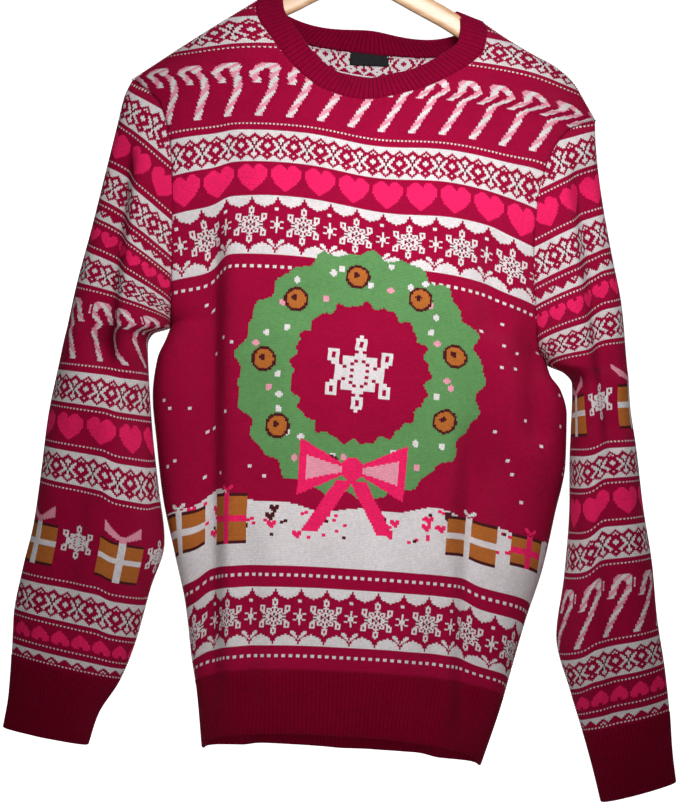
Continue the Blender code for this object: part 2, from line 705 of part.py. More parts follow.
def neck_label(inner_rows, row_count, column_count):
    """A small woven label on the inside of the back panel, just under the neck rib."""
    middle = column_count // 2
    top = inner_rows[row_count - 1]
    below = inner_rows[row_count - 2]
    lower = inner_rows[row_count - 3]

    def across(line):
        left = line[middle] + (line[middle - 1] - line[middle]) * 0.88
        right = line[middle] + (line[middle + 1] - line[middle]) * 0.88
        return np.array([left, line[middle], right])

    lines = [
        across(top) + (across(below) - across(top)) * 0.12,
        across(below),
        across(below) + (across(lower) - across(below)) * 0.7,
    ]
    outer = np.concatenate(lines)
    towards_front = np.array([0.0, -1.0, 0.0])
    outer = outer + towards_front * TOUCH_GAP
    inner = outer + towards_front * 0.1
    count = len(outer)
    sheet = Surface(lines, closed=False)
    faces = [list(face) for face in sheet.faces]
    faces += [[corner + count for corner in face[::-1]] for face in sheet.faces]
    faces += [[b, a, a + count, b + count] for a, b in sheet.seam_edges()]
    mesh_object("neck_label", "label_black", np.concatenate([outer, inner]), faces)


def hanger(left_seam, right_seam):
    """A flat contoured hanger of beech whose arms bear under the two shoulder seams."""
    stations = [(point[0], point[2] - TOUCH_GAP) for point in left_seam[:-1]]
    stations.append((left_seam[-1][0], left_seam[-1][2] - NECK_CLEARANCE))
    stations += [(arm.x, arm.top) for arm in HANGER_CROWN]
    stations.append((right_seam[0][0], right_seam[0][2] - NECK_CLEARANCE))
    stations += [(point[0], point[2] - TOUCH_GAP) for point in right_seam[1:]]
    half = HANGER_HALF_THICKNESS
    points = []
    for x, top in stations:
        depth = HANGER_DEPTH - 0.5 * abs(x - HOOK_STEM_X) / 20.0
        outline = [
            (0.0, 0.0),
            (-0.34, -0.5),
            (-half, -1.25),
            (-half, -0.5 - 0.65 * depth),
            (-0.4, -depth),
            (0.4, -depth),
            (half, -0.5 - 0.65 * depth),
            (half, -1.25),
            (0.34, -0.5),
        ]
        points += [(x, y, top + z) for y, z in outline]
    sides = 9
    faces = []
    for station in range(len(stations) - 1):
        for side in range(sides):
            after = (side + 1) % sides
            low = station * sides
            high = low + sides
            faces.append([low + side, low + after, high + after, high + side])
    last = (len(stations) - 1) * sides
    faces.append(list(range(sides))[::-1])
    faces.append([last + side for side in range(sides)])
    mesh_object("hanger_wood", "beech_wood", np.array(points), faces)


def hook():
    """The wire hook: a short stem on the hanger's crown and an open round bend."""
    centre_z = -HOOK_RADIUS + HOOK_WIRE_RADIUS
    stem_foot = max(arm.top for arm in HANGER_CROWN) + TOUCH_GAP
    route = [(HOOK_STEM_X, stem_foot), (HOOK_STEM_X, stem_foot + 1.1), (HOOK_STEM_X - 0.05, stem_foot + 2.0)]
    for degrees in range(222, -46, -12):
        angle = math.radians(degrees)
        route.append((HOOK_RADIUS * math.cos(angle), centre_z + HOOK_RADIUS * math.sin(angle)))
    curve = bpy.data.curves.new("hanger_hook", "CURVE")
    curve.dimensions = "3D"
    curve.bevel_depth = HOOK_WIRE_RADIUS * CM
    curve.bevel_resolution = 2
    curve.use_fill_caps = True
    spline = curve.splines.new("POLY")
    spline.points.add(len(route) - 1)
    for point, (x, z) in zip(spline.points, route):
        point.co = (x * CM, 0.0, z * CM, 1.0)
    piece = bpy.data.objects.new("hanger_hook", curve)
    bpy.context.collection.objects.link(piece)
    curve.materials.append(material("hook_steel"))


def build():
    for leftover in list(bpy.data.objects):
        bpy.data.objects.remove(leftover, do_unlink=True)
    front_grid = panel_grid("front")
    back_grid = panel_grid("back")
    front = Surface(front_grid, closed=False)
    back = Surface(back_grid, closed=False)
    back.flip()
    sleeves = {}
    cuffs = {}
    front_shares = np.linspace(0.0, 1.0, SLEEVE_FRONT_COLUMNS + 1)
    back_shares = np.linspace(0.0, 1.0, SLEEVE_BACK_COLUMNS + 1)
    for side, table in (("left", LEFT_SLEEVE), ("right", RIGHT_SLEEVE)):
        sleeves[side] = Surface(sleeve_grid(side), closed=False)
        top, foot = table[2].outer_z, table[0].outer_z
        rings = [
            sleeve_ring(side, top + (foot - top) * step, front_shares, back_shares)
            for step in RIB_LOOPS
        ]
        cuffs[side] = Surface([ring[:-1] for ring in rings], closed=True)
    hem = Surface(hem_loops(), closed=True)
    neck = Surface(neck_loops(front_grid[-1][SHOULDER_COLUMNS:-SHOULDER_COLUMNS],
                              back_grid[-1][SHOULDER_COLUMNS:-SHOULDER_COLUMNS]), closed=True)
    sleeves["right"].flip()
    cuffs["right"].flip()
    hem.flip()
    surfaces = [front, back, sleeves["left"], sleeves["right"], cuffs["left"], cuffs["right"], hem, neck]
    shared = shared_normals(surfaces)
    for side, outward in (("left", -0.7), ("right", 0.7)):
        crotch = np.array(body_edge("front", side, UNDERARM_ROW))
        shared[split_key(crotch)] = np.array([outward, 0.0, -0.7])
    front_inner = cloth_wall("front_panel", front, normals_of(front, shared), PANEL_SEAM_GAP)
    back_inner = cloth_wall("back_panel", back, normals_of(back, shared), PANEL_SEAM_GAP)
    for side in ("left", "right"):
        sleeve = sleeves[side]
        cloth_wall(side + "_sleeve", sleeve, normals_of(sleeve, shared), SLEEVE_SEAM_GAP)
        rib_wall(side + "_cuff", cuffs[side], normals_of(cuffs[side], shared), CUFF_RIBS_PER_STEP)
    rib_wall("hem_rib", hem, normals_of(hem, shared), HEM_RIBS_PER_STEP)
    rib_wall("neck_rib", neck, normals_of(neck, shared), NECK_RIBS_PER_STEP)
    back_rows = [[back_inner[corner] for corner in line] for line in back.index]
    neck_label(back_rows, len(back_rows), len(back_rows[0]))
    seam = [front_inner[corner] for corner in front.index[-1]]
    hanger(seam[2:SHOULDER_COLUMNS + 1], seam[-SHOULDER_COLUMNS - 1:-3])
    hook()


build()
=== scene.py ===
"""A knitted christmas pullover hung on a wooden hanger, dressed for a close look.

Sizes in the tables are centimetres. Heights are measured from the point of the hook that bears on
its rail, the front faces -Y and -X is the left side. Cloth is counted in stitches and knit rows.
"""
import math
from collections import namedtuple

import bmesh
import bpy
import numpy as np
from mathutils import Matrix, Vector


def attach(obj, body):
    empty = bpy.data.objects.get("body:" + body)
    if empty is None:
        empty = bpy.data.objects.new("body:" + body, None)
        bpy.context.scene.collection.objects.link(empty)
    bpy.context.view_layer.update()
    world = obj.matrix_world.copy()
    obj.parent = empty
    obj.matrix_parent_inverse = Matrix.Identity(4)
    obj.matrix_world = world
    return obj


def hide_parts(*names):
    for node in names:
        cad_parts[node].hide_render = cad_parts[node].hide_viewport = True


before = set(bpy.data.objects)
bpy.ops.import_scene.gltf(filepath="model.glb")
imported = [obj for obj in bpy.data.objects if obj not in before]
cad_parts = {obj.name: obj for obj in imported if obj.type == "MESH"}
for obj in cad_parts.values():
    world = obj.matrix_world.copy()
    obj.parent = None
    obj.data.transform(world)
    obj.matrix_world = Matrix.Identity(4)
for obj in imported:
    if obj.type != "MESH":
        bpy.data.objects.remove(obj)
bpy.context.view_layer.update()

# ---------------------------------------------------------------- front panel
# The front is one piece of fine acrylic jacquard, knitted from the hem rib up and shaped at the
# armholes, shoulders and neck. It hangs open in soft folds; its pattern is charted stitch by stitch.
CM = 0.01
STITCH = 0.175
KNIT_ROW = 0.14
CLOTH_THICKNESS = 0.2
SIDE_Y = 0.3
UNDERARM_ROW = 32.0
YOKE_ROW = 52.0
TIP_ROW = 55.0
NECK_ROW = 63.5
NECK_HALF_WIDTH = 10.4
TIP_HALF_WIDTH = 22.0
SECTION_SAMPLES = 401
TINY = 1e-6


def rows_of(kind, *rows):
    """A table of sizes, each row under the names of its columns."""
    return [kind(*row) for row in rows]


# How deep the neck is scooped, and how square its curve is
Neck = namedtuple("Neck", "drop power")
NECKS = {"front": Neck(10.2, 1.85), "back": Neck(4.0, 2.6)}

Level = namedtuple("Level", "row left_z right_z")
LEVELS = rows_of(
    Level,
    (-7.0, -80.7, -81.2), (0.0, -74.2, -74.5), (UNDERARM_ROW, -41.0, -42.9), (TIP_ROW, -17.9, -19.8),
    (NECK_ROW, -9.8, -11.0),
)

# Half the flat width of a panel at a row
Width = namedtuple("Width", "row half")
PANEL_WIDTHS = rows_of(
    Width,
    (-7.0, 24.5), (UNDERARM_ROW, 24.5), (33.2, 22.6), (34.8, 20.6), (37.0, 19.0), (40.0, 18.1),
    (47.0, 18.2), (YOKE_ROW, 19.6), (TIP_ROW, TIP_HALF_WIDTH),
)

# How far the middle of a row rides above its two ends
Rise = namedtuple("Rise", "row front back")
RISES = rows_of(
    Rise,
    (-7.0, 2.6, 0.4), (0.0, 2.3, 0.6), (20.0, 2.0, 0.8), (42.0, 2.0, 0.9), (TIP_ROW, 1.3, 0.6),
    (NECK_ROW, 0.0, 0.0),
)

# Edges of the body, each at its own heights: side seams below, armhole seams above
Side = namedtuple("Side", "z x y")
SIDE_SEAMS = {
    "left": rows_of(
        Side,
        (-81.0, -12.8, 0.5), (-75.0, -13.6, 0.5), (-72.0, -14.2, 0.5), (-67.0, -15.0, 0.5),
        (-62.0, -16.3, 0.5), (-57.0, -17.6, 0.5), (-52.0, -18.4, 0.5), (-47.0, -19.0, 0.4),
        (-44.0, -18.7, 0.3), (-42.2, -18.0, 0.3), (-41.0, -17.6, 0.3),
    ),
    "right": rows_of(
        Side,
        (-81.5, 13.1, 0.5), (-75.0, 15.0, 0.5), (-72.0, 15.7, 0.5), (-67.0, 16.9, 0.5),
        (-62.0, 18.3, 0.5), (-57.0, 19.2, 0.5), (-52.0, 20.0, 0.5), (-47.5, 19.9, 0.4),
        (-45.5, 19.3, 0.3), (-44.2, 18.3, 0.3), (-42.9, 17.8, 0.3),
    ),
}
Armhole = namedtuple("Armhole", "z front_x front_y back_x back_y")
ARMHOLES = {
    "left": rows_of(
        Armhole,
        (-41.0, -17.6, 0.3, -17.6, 0.3), (-39.5, -17.6, -1.2, -17.6, 1.5),
        (-36.0, -17.6, -2.5, -17.6, 2.6), (-31.1, -17.7, -3.0, -17.8, 2.9),
        (-24.4, -18.2, -2.4, -18.4, 2.3), (-20.3, -19.4, -1.5, -19.5, 1.4),
        (-18.6, -21.2, -0.8, -21.2, 0.8), (-17.9, -22.2, 0.0, -22.2, 0.0),
    ),
    "right": rows_of(
        Armhole,
        (-42.9, 17.8, 0.3, 17.8, 0.3), (-41.3, 16.9, -1.2, 17.2, 1.5), (-38.0, 16.4, -2.5, 16.8, 2.6),
        (-32.0, 15.9, -3.0, 16.5, 2.9), (-27.5, 16.1, -2.7, 16.8, 2.6), (-24.0, 16.9, -2.2, 17.4, 2.1),
        (-20.8, 18.9, -1.2, 19.0, 1.2), (-19.8, 21.3, 0.0, 21.3, 0.0),
    ),
}
SHOULDERS = {
    "left": rows_of(Side, (-17.9, -22.2, 0.0), (-13.6, -16.2, 0.0), (-9.8, -10.6, 0.0)),
    "right": rows_of(
        Side,
        (-19.8, 21.3, 0.0), (-18.2, 20.3, 0.0), (-16.4, 19.1, 0.0), (-15.0, 17.4, 0.0),
        (-13.7, 14.8, 0.0), (-12.2, 12.1, 0.0), (-11.0, 10.2, 0.0),
    ),
}

# How far front and back stand from the middle plane, and how they round off to their edges
Body = namedtuple("Body", "z front back turn roundness")
BODY = rows_of(
    Body,
    (-81.5, -4.9, 4.2, 5.0, 2.0), (-74.0, -5.0, 4.3, 5.0, 2.0), (-62.0, -5.4, 4.6, 6.0, 2.0),
    (-47.0, -5.3, 4.6, 6.0, 2.0), (-41.0, -4.9, 4.4, 6.5, 1.8), (-35.0, -4.6, 4.2, 8.0, 1.4),
    (-24.0, -3.5, 3.7, 9.0, 1.5), (-19.0, -2.9, 3.5, 11.0, 1.8), (-14.0, -2.4, 3.2, 11.0, 2.0),
    (-9.7, -2.2, 2.6, 11.0, 2.0),
)

# A fold is a trough along a line; its sides fall off over their own widths
Fold = namedtuple("Fold", "x_top z_top x_low z_low depth left right fade")
PANEL_FOLDS = {
    "front": rows_of(
        Fold,
        (-13.9, -35.0, -12.3, -72.0, 2.8, 3.6, 1.1, 9.0),
        (-9.2, -64.0, -8.8, -76.0, 0.9, 1.6, 1.4, 6.0), (12.5, -35.0, 12.3, -40.0, 1.1, 1.6, 1.4, 4.0),
        (16.4, -39.5, 16.8, -50.0, 1.5, 1.4, 1.2, 3.5), (11.1, -56.0, 11.3, -76.0, 2.3, 1.3, 3.4, 9.0),
        (8.4, -66.0, 8.3, -76.0, 0.7, 1.2, 1.0, 4.0), (-15.0, -22.0, -11.5, -31.0, 0.6, 2.0, 1.5, 3.0),
    ),
    "back": rows_of(
        Fold,
        (-10.5, -38.0, -9.4, -76.0, -2.4, 3.2, 1.1, 10.0),
        (11.2, -42.0, 9.6, -78.0, -2.2, 1.1, 3.4, 10.0), (1.5, -52.0, 0.5, -76.0, -0.9, 1.8, 1.6, 9.0),
        (15.5, -30.0, 13.0, -42.0, -0.9, 1.8, 1.4, 5.0),
    ),
}


def smooth_row(table, key, at):
    """The table's row at a key, each column on a monotone cubic through the rows."""
    rows = np.array(table, dtype=float)
    keys = rows[:, table[0]._fields.index(key)]
    if keys[0] > keys[-1]:
        rows, keys = rows[::-1], keys[::-1]
    at = min(max(at, keys[0]), keys[-1])
    slot = int(min(max(np.searchsorted(keys, at) - 1, 0), len(keys) - 2))
    slopes = np.diff(rows, axis=0) / np.diff(keys)[:, None]

    def tangent(index):
        if index == 0 or index == len(keys) - 1:
            return slopes[min(index, len(slopes) - 1)]
        before, after = slopes[index - 1], slopes[index]
        same_way = before * after > 0
        total = np.where(same_way, before + after, 1.0)
        return np.where(same_way, 2.0 * before * after / total, 0.0)

    span = keys[slot + 1] - keys[slot]
    t = (at - keys[slot]) / span
    value = (
        (2 * t**3 - 3 * t**2 + 1) * rows[slot]
        + (t**3 - 2 * t**2 + t) * span * tangent(slot)
        + (3 * t**2 - 2 * t**3) * rows[slot + 1]
        + (t**3 - t**2) * span * tangent(slot + 1)
    )
    return table[0]._make(value)


def edge_rise(share, turn, roundness):
    """How far a section has risen to its full depth, share being the way from its edge."""
    way = np.clip(share / turn, 0.0, 1.0)
    return (1.0 - (1.0 - way) ** roundness) ** (1.0 / roundness)


def fold_depth(folds, x, z):
    """The troughs' depth at points of a panel."""
    depth = np.zeros_like(x)
    for fold in folds:
        length = math.hypot(fold.x_low - fold.x_top, fold.z_low - fold.z_top)
        along_x = (fold.x_low - fold.x_top) / length
        along_z = (fold.z_low - fold.z_top) / length
        along = (x - fold.x_top) * along_x + (z - fold.z_top) * along_z
        across = (x - fold.x_top) * -along_z + (z - fold.z_top) * along_x
        beyond = np.maximum(np.maximum(-along, along - length), 0.0)
        fading = np.exp(-((beyond / (0.5 * fold.fade)) ** 2))
        width = np.where(across < 0, fold.left, fold.right)
        depth += fold.depth * fading * np.exp(-((across / width) ** 2))
    return depth


def bowed_section(start, end, mid_y, turns, roundness, folds):
    """A dense curve from one edge point to another, bowed to mid_y and folded, and its lengths."""
    share = 0.5 - 0.5 * np.cos(np.linspace(0.0, math.pi, SECTION_SAMPLES))
    x = start[0] + (end[0] - start[0]) * share
    z = start[2] + (end[2] - start[2]) * share
    width = abs(end[0] - start[0])
    full = edge_rise(share * width, min(turns[0], 0.5 * width + TINY), roundness[0])
    full *= edge_rise((1.0 - share) * width, min(turns[1], 0.5 * width + TINY), roundness[1])
    flat_y = start[1] + (end[1] - start[1]) * share
    y = flat_y + (mid_y - flat_y) * full + fold_depth(folds, x, z) * full
    points = np.stack([x, y, z], axis=1)
    steps = np.hypot(np.diff(x), np.diff(y))
    lengths = np.concatenate([[0.0], np.cumsum(steps)])
    return points, lengths / max(lengths[-1], 1e-9)


def at_share(section, share):
    """Points of a section at shares of its length."""
    points, lengths = section
    return np.stack([np.interp(share, lengths, points[:, axis]) for axis in range(3)], axis=-1)


def body_edge(face, side, row):
    """The point where a panel ends at a row: side seam, armhole seam or shoulder seam."""
    z = getattr(smooth_row(LEVELS, "row", row), side + "_z")
    if UNDERARM_ROW <= row <= TIP_ROW:
        seam = smooth_row(ARMHOLES[side], "z", z)
        return (getattr(seam, face + "_x"), getattr(seam, face + "_y"), z)
    seam = smooth_row((SHOULDERS if row > TIP_ROW else SIDE_SEAMS)[side], "z", z)
    return (seam.x, seam.y, z)


def half_width(row):
    """Half the flat width of a panel at a row, straight along the shoulder seams."""
    if row > TIP_ROW:
        along = (row - TIP_ROW) / (NECK_ROW - TIP_ROW)
        return TIP_HALF_WIDTH + (NECK_HALF_WIDTH - TIP_HALF_WIDTH) * along
    return smooth_row(PANEL_WIDTHS, "row", row).half


def shoulder_bulge(side, z):
    """How far a shoulder seam stands outside the straight line between its ends."""
    tip, corner = SHOULDERS[side][0], SHOULDERS[side][-1]
    if z <= tip.z:
        return 0.0
    straight = tip.x + (corner.x - tip.x) * (z - tip.z) / (corner.z - tip.z)
    return smooth_row(SHOULDERS[side], "z", z).x - straight


def panel_points(face, row, flat_x):
    """Points of the front or back cloth at one row and at flat distances from its middle."""
    start, end = body_edge(face, "left", row), body_edge(face, "right", row)
    body = smooth_row(BODY, "z", 0.5 * (start[2] + end[2]))
    turns, roundness = (body.turn, body.turn), (body.roundness, body.roundness)
    section = bowed_section(start, end, getattr(body, face), turns, roundness, PANEL_FOLDS[face])
    share = np.clip(0.5 + 0.5 * np.asarray(flat_x) / half_width(row), 0.0, 1.0)
    points = at_share(section, share)
    out = np.abs(2.0 * share - 1.0)
    points[..., 2] += getattr(smooth_row(RISES, "row", row), face) * (1.0 - out**3)
    bulge = np.where(share < 0.5, shoulder_bulge("left", start[2]), shoulder_bulge("right", end[2]))
    points[..., 0] -= bulge * (out - out**3)
    return points


def top_row(face, flat_x):
    """The row where a panel ends above a point of its width: neck edge or shoulder seam."""
    out = abs(flat_x)
    if out >= NECK_HALF_WIDTH - TINY:
        along = (out - NECK_HALF_WIDTH) / (TIP_HALF_WIDTH - NECK_HALF_WIDTH)
        return NECK_ROW + (TIP_ROW - NECK_ROW) * along
    neck = NECKS[face]
    return NECK_ROW - neck.drop * (1.0 - (out / NECK_HALF_WIDTH) ** neck.power) ** (1.0 / neck.power)


# Where the knit rows hang lower than their neighbours; less than nothing is higher
Sag = namedtuple("Sag", "x z across up drop edge")
PANEL_SAGS = {
    "front": rows_of(
        Sag,
        (1.0, -25.0, 4.6, 8.0, 0.7, 2.0), (4.0, -30.5, 4.0, 3.0, 0.3, 2.0),
        (-18.0, -40.0, 4.9, 12.5, 1.6, 8.0), (-18.0, -68.0, 4.7, 12.0, 1.1, 8.0),
        (16.5, -23.0, 2.5, 5.0, -0.5, 2.0), (-19.0, -14.0, 5.0, 4.0, 0.9, 2.0),
        (20.0, -16.0, 4.0, 4.0, 1.0, 2.0), (17.5, -34.0, 5.0, 5.0, 0.4, 8.0),
        (16.0, -72.0, 4.8, 14.0, 0.9, 8.0),
    ),
    "back": rows_of(
        Sag,
        (0.5, -15.0, 7.5, 8.0, 1.5, 2.0), (-12.6, -60.0, 2.6, 18.0, 0.5, 2.0),
        (12.4, -62.0, 2.6, 18.0, 0.5, 2.0),
    ),
}
# How far the stitch columns of the upper body lean, for each centimetre above where they start to
Lean = namedtuple("Lean", "x rise")
SEAM_FADE = 3.5
LEAN_LEVEL = 49.0
LEAN_EASE = 1.2
BACK_LEAN = 0.1
LOWER_LEAN_LEVEL = 40.0
LOWER_LEAN = 0.038
HEM_GATHER = 0.05
HEM_GATHER_LEVEL = 25.0
LEANS = rows_of(
    Lean,
    (-20.0, -0.42), (-16.0, -0.38), (-13.0, -0.28), (-9.0, -0.12), (-4.0, 0.00), (1.0, 0.08),
    (4.0, 0.10), (7.0, 0.12), (10.0, 0.13), (13.0, 0.15), (17.0, 0.22), (21.0, 0.30),
)
LEVEL_STEP = 0.25
# Stitches are numbered from far outside the cloth, so that all numbers are positive
FIRST_STITCH = 200
CORNER_PULL = 0.2
HALF_SHARES = np.linspace(0.0, 1.0, 181)
# How widely neighbouring lengths are evened, how the edges hold the small waves still, how deep those
# are, and how many rounds it takes until the rows and stitches lie at rest
WAY_EVENING = 6
STILL_SIDE = 4.0
STILL_TOP = 5.0
WAVE_DEPTH = 0.055
REST_ROUNDS = 30
NECK_ROUNDS = 12
REST_STEP = 0.6


def sag_at(sags, points, row):
    """How much lower than level the cloth lies at points; nothing at the hem's seam."""
    drop = np.zeros(points.shape[:-1])
    for sag in sags:
        off = np.abs((points[..., 0] - sag.x) / sag.across) ** sag.edge
        off += ((points[..., 2] - sag.z) / sag.up) ** 2
        drop += sag.drop * np.exp(-off)
    return drop * np.clip(row / SEAM_FADE, 0.0, 1.0)


def lean_at(face, points, level):
    """How far to the right of their place on an even cloth the stitches lie.

    The upper body is drawn towards the shoulders' tips, the lower body hangs a little to the left,
    and the hem's rib gathers the stitches above it.
    """
    above = np.maximum(level - LEAN_LEVEL, 0.0)
    rise = np.interp(points[..., 0], [lean.x for lean in LEANS], [lean.rise for lean in LEANS])
    lean = (rise if face == "front" else BACK_LEAN * rise) * above**2 / (above + LEAN_EASE)
    lean -= LOWER_LEAN * np.maximum(LOWER_LEAN_LEVEL - level, 0.0)
    return lean - HEM_GATHER * points[..., 0] * np.maximum(1.0 - level / HEM_GATHER_LEVEL, 0.0)


def soft_waves(points):
    """Small uneven undulations of a hanging knit."""
    x, z = points[:, 0], points[:, 2]
    wave = np.sin(0.83 * x + 0.21 * z + 1.3) * np.sin(0.11 * x - 0.37 * z)
    wave += 0.6 * np.sin(1.71 * x - 0.33 * z + 0.4) * np.sin(0.29 * x + 0.53 * z + 2.1)
    return wave + 0.35 * np.sin(2.9 * x + 0.61 * z) * np.sin(0.9 * z + 0.7)


def running_mean(values, reach):
    """Mean of each value with its neighbours along the first axis, the ends held."""
    ends = (np.repeat(values[:1], reach, axis=0), np.repeat(values[-1:], reach, axis=0))
    padded = np.concatenate([ends[0], values, ends[1]])
    total = np.cumsum(np.concatenate([np.zeros_like(padded[:1]), padded]), axis=0)
    return (total[2 * reach + 1:] - total[:-2 * reach - 1]) / (2 * reach + 1)


def half_section(points):
    """Points at even shares of the way along a curve, and the length of the way."""
    way = np.concatenate([[0.0], np.cumsum(np.hypot(np.diff(points[:, 0]), np.diff(points[:, 1])))])
    shares = way / max(way[-1], 1e-9)
    even = [np.interp(HALF_SHARES, shares, points[:, axis]) for axis in range(points.shape[1])]
    return np.stack(even, axis=-1), way[-1]


class Drape:
    """Where cloth lies: at each level two halves run from a middle column out to the seams.

    A panel's halves also hold, as a fourth value, how far from its middle each point lies when flat.
    """

    def __init__(self, levels, halves, ways):
        self.levels = levels
        self.halves = np.array(halves)
        self.ways = np.array(ways)
        self.even_ways = running_mean(self.ways, WAY_EVENING)

    def reach(self, level, distance):
        """How far it is to the seam on the side of a distance, negative on the first half."""
        first, second = (np.interp(level, self.levels, ways) for ways in self.even_ways.T)
        return np.where(distance > 0, second, first)

    def share(self, level, distance):
        """A distance along the cloth as a share of the way to the seam."""
        return np.clip(np.abs(distance) / np.maximum(self.reach(level, distance), TINY), 0.0, 1.0)

    def place(self, level, distance):
        """Points at levels and at distances along the cloth."""
        side = (distance > 0).astype(int)
        across = self.share(level, distance) * (len(HALF_SHARES) - 1)
        column = np.minimum(across.astype(int), len(HALF_SHARES) - 2)
        up = (level - self.levels[0]) / (self.levels[1] - self.levels[0])
        row = np.clip(up.astype(int), 0, len(self.levels) - 2)
        across = (across - column)[..., None]
        up = np.clip(up - row, 0.0, 1.0)[..., None]
        halves = self.halves
        low = halves[row, side, column] * (1 - across) + halves[row, side, column + 1] * across
        high = halves[row + 1, side, column] * (1 - across) + halves[row + 1, side, column + 1] * across
        return low * (1 - up) + high * up


def panel_drape(face):
    """The drape of the front or back; its middle column hangs on the middle plane."""
    levels = np.arange(-7.0, NECK_ROW + 0.5 * LEVEL_STEP, LEVEL_STEP)
    halves, ways = [], []
    for row in levels:
        half = half_width(row)
        flat_x = np.linspace(-half, half, SECTION_SAMPLES)
        points = panel_points(face, row, flat_x)
        to_top = np.array([top_row(face, value) for value in flat_x]) - row
        free = np.minimum(points[:, 0] - points[0, 0], points[-1, 0] - points[:, 0]) / STILL_SIDE
        free = np.clip(np.minimum(free, to_top / STILL_TOP), 0.0, 1.0)
        points[:, 1] += WAVE_DEPTH * soft_waves(points) * free
        middle = int(np.argmin(np.abs(points[:, 0])))
        points = np.column_stack([points, flat_x])
        both = [half_section(points[middle::-1]), half_section(points[middle:])]
        halves.append([points for points, way in both])
        ways.append([way for points, way in both])
    return Drape(levels, halves, ways)


def panel_grid(face, drape, stitches, rows):
    """A panel's knit grid on its drape, drawn in to the side, armhole, shoulder and neck edges.

    Gives for each grid point its place, the stitch and the knit row that lie there, and whether it
    falls in the neck's opening.
    """
    sags, neck = PANEL_SAGS[face], NECKS[face]
    upright, row = np.meshgrid(stitches * STITCH, rows * KNIT_ROW)
    distance, level = upright, np.minimum(row, NECK_ROW)
    held = 1.0 - REST_STEP
    for _ in range(REST_ROUNDS):
        points = drape.place(level, distance)
        level = held * level + REST_STEP * np.clip(row - sag_at(sags, points, level), 0.0, NECK_ROW)
        distance = held * distance + REST_STEP * (upright + lean_at(face, points, level))
    flat_x = drape.place(level, distance)[..., 3]
    wide = np.clip(np.abs(flat_x) / NECK_HALF_WIDTH, 0.0, 2.0)
    deep = np.clip((NECK_ROW - level) / neck.drop, 0.0, 2.0)
    round_neck = (wide**neck.power + deep**neck.power) ** (1.0 / neck.power)
    opening = round_neck < 1.0 - TINY
    scale = np.where(opening, np.maximum(round_neck, 0.02), 1.0)
    level = NECK_ROW - (NECK_ROW - level) / scale
    flat_x = flat_x / scale
    reach = drape.reach(level, distance)
    distance = np.clip(distance, -reach, reach)
    for _ in range(NECK_ROUNDS):
        missing = flat_x - drape.place(level, distance)[..., 3]
        distance = np.where(opening, distance + missing, distance)
    points = drape.place(level, distance)
    row = (level + sag_at(sags, points, level)) / KNIT_ROW
    stitch = (distance - lean_at(face, points, level)) / STITCH + FIRST_STITCH
    # Away from the edges each point is a corner of its stitch
    row, stitch = (np.where(np.abs(mark - np.round(mark)) < CORNER_PULL, np.round(mark), mark)
                   for mark in (row, stitch))
    return points[..., :3], stitch, row, opening


def mesh_piece(name, points, faces, edges=()):
    """A piece of the scene from points in centimetres."""
    mesh = bpy.data.meshes.new(name)
    mesh.from_pydata((np.array(points, dtype=float) * CM).tolist(), edges, faces)
    piece = bpy.data.objects.new(name, mesh)
    bpy.context.collection.objects.link(piece)
    return piece


def stitch_map(piece, corners):
    """Each corner of a face knows its stitch and its row."""
    layer = piece.data.uv_layers.new(name="stitches")
    layer.data.foreach_set("uv", np.array(corners, dtype=np.float32).ravel())


def knit_piece(name, points, uv, chart, chart_left, outward, opening=None):
    """One piece of cloth from its knit grid: each face covers two stitches by two rows.

    A face carries the yarns of its outside and of its inside, each as one number in base eight with
    those of the row above, so that the shader can round each stitch to its v.
    """
    rows, columns = points.shape[:2]
    unique, index = np.unique(np.round(points.reshape(-1, 3), 3), axis=0, return_inverse=True)
    index = index.reshape(rows, columns)
    first = np.zeros(len(unique), dtype=int)
    first[index.ravel()[::-1]] = np.arange(rows * columns)[::-1]
    faces, corners_uv = [], []
    charts = {"yarns": chart, "inner_yarns": inner_chart(chart)}
    codes = {label: [] for label in charts}
    for row in range(rows - 1):
        for column in range(columns - 1):
            grid = [(row, column), (row, column + 1), (row + 1, column + 1), (row + 1, column)]
            if opening is not None and all(opening[place] for place in grid):
                continue
            corners = {}
            for place in grid if outward else grid[::-1]:
                corners.setdefault(index[place], place)
            if len(corners) < 3:
                continue
            middle = np.mean([uv[place] for place in corners.values()], axis=0)
            stitch = int(2 * np.floor(0.5 * middle[0])) - FIRST_STITCH - chart_left
            low = int(2 * np.floor(0.5 * middle[1]))
            faces.append(list(corners))
            corners_uv += [uv[place] for place in corners.values()]
            for label, drawn in charts.items():
                code = 0
                for step in range(6):
                    up = min(max(low + step // 2, 0), chart.shape[0] - 1)
                    along = min(max(stitch + step % 2, 0), chart.shape[1] - 1)
                    code += int(drawn[up, along]) * 8**step
                codes[label].append(float(code))
    piece = mesh_piece(name, points.reshape(-1, 3)[first], faces)
    stitch_map(piece, corners_uv)
    for label in charts:
        marks = piece.data.attributes.new(label, "FLOAT", "FACE")
        marks.data.foreach_set("value", np.array(codes[label], dtype=np.float32))
    return piece


def baked(piece):
    """Make the piece's modifiers real, so that it is a plain mesh."""
    bpy.context.view_layer.update()
    settled = piece.evaluated_get(bpy.context.evaluated_depsgraph_get())
    mesh = bpy.data.meshes.new_from_object(settled)
    piece.modifiers.clear()
    piece.data = mesh
    mesh.name = piece.name
    mesh.shade_smooth()
    return piece


def give_thickness(piece):
    """Cloth has its wall on the inner side, which shows the wrong side of the knit."""
    piece.data.materials.append(knit_face)
    piece.data.materials.append(knit_wrong_side)
    wall = piece.modifiers.new("wall", "SOLIDIFY")
    wall.thickness = CLOTH_THICKNESS * CM
    wall.offset = -1.0
    wall.material_offset = 1
    wall.material_offset_rim = 0
    return baked(piece)
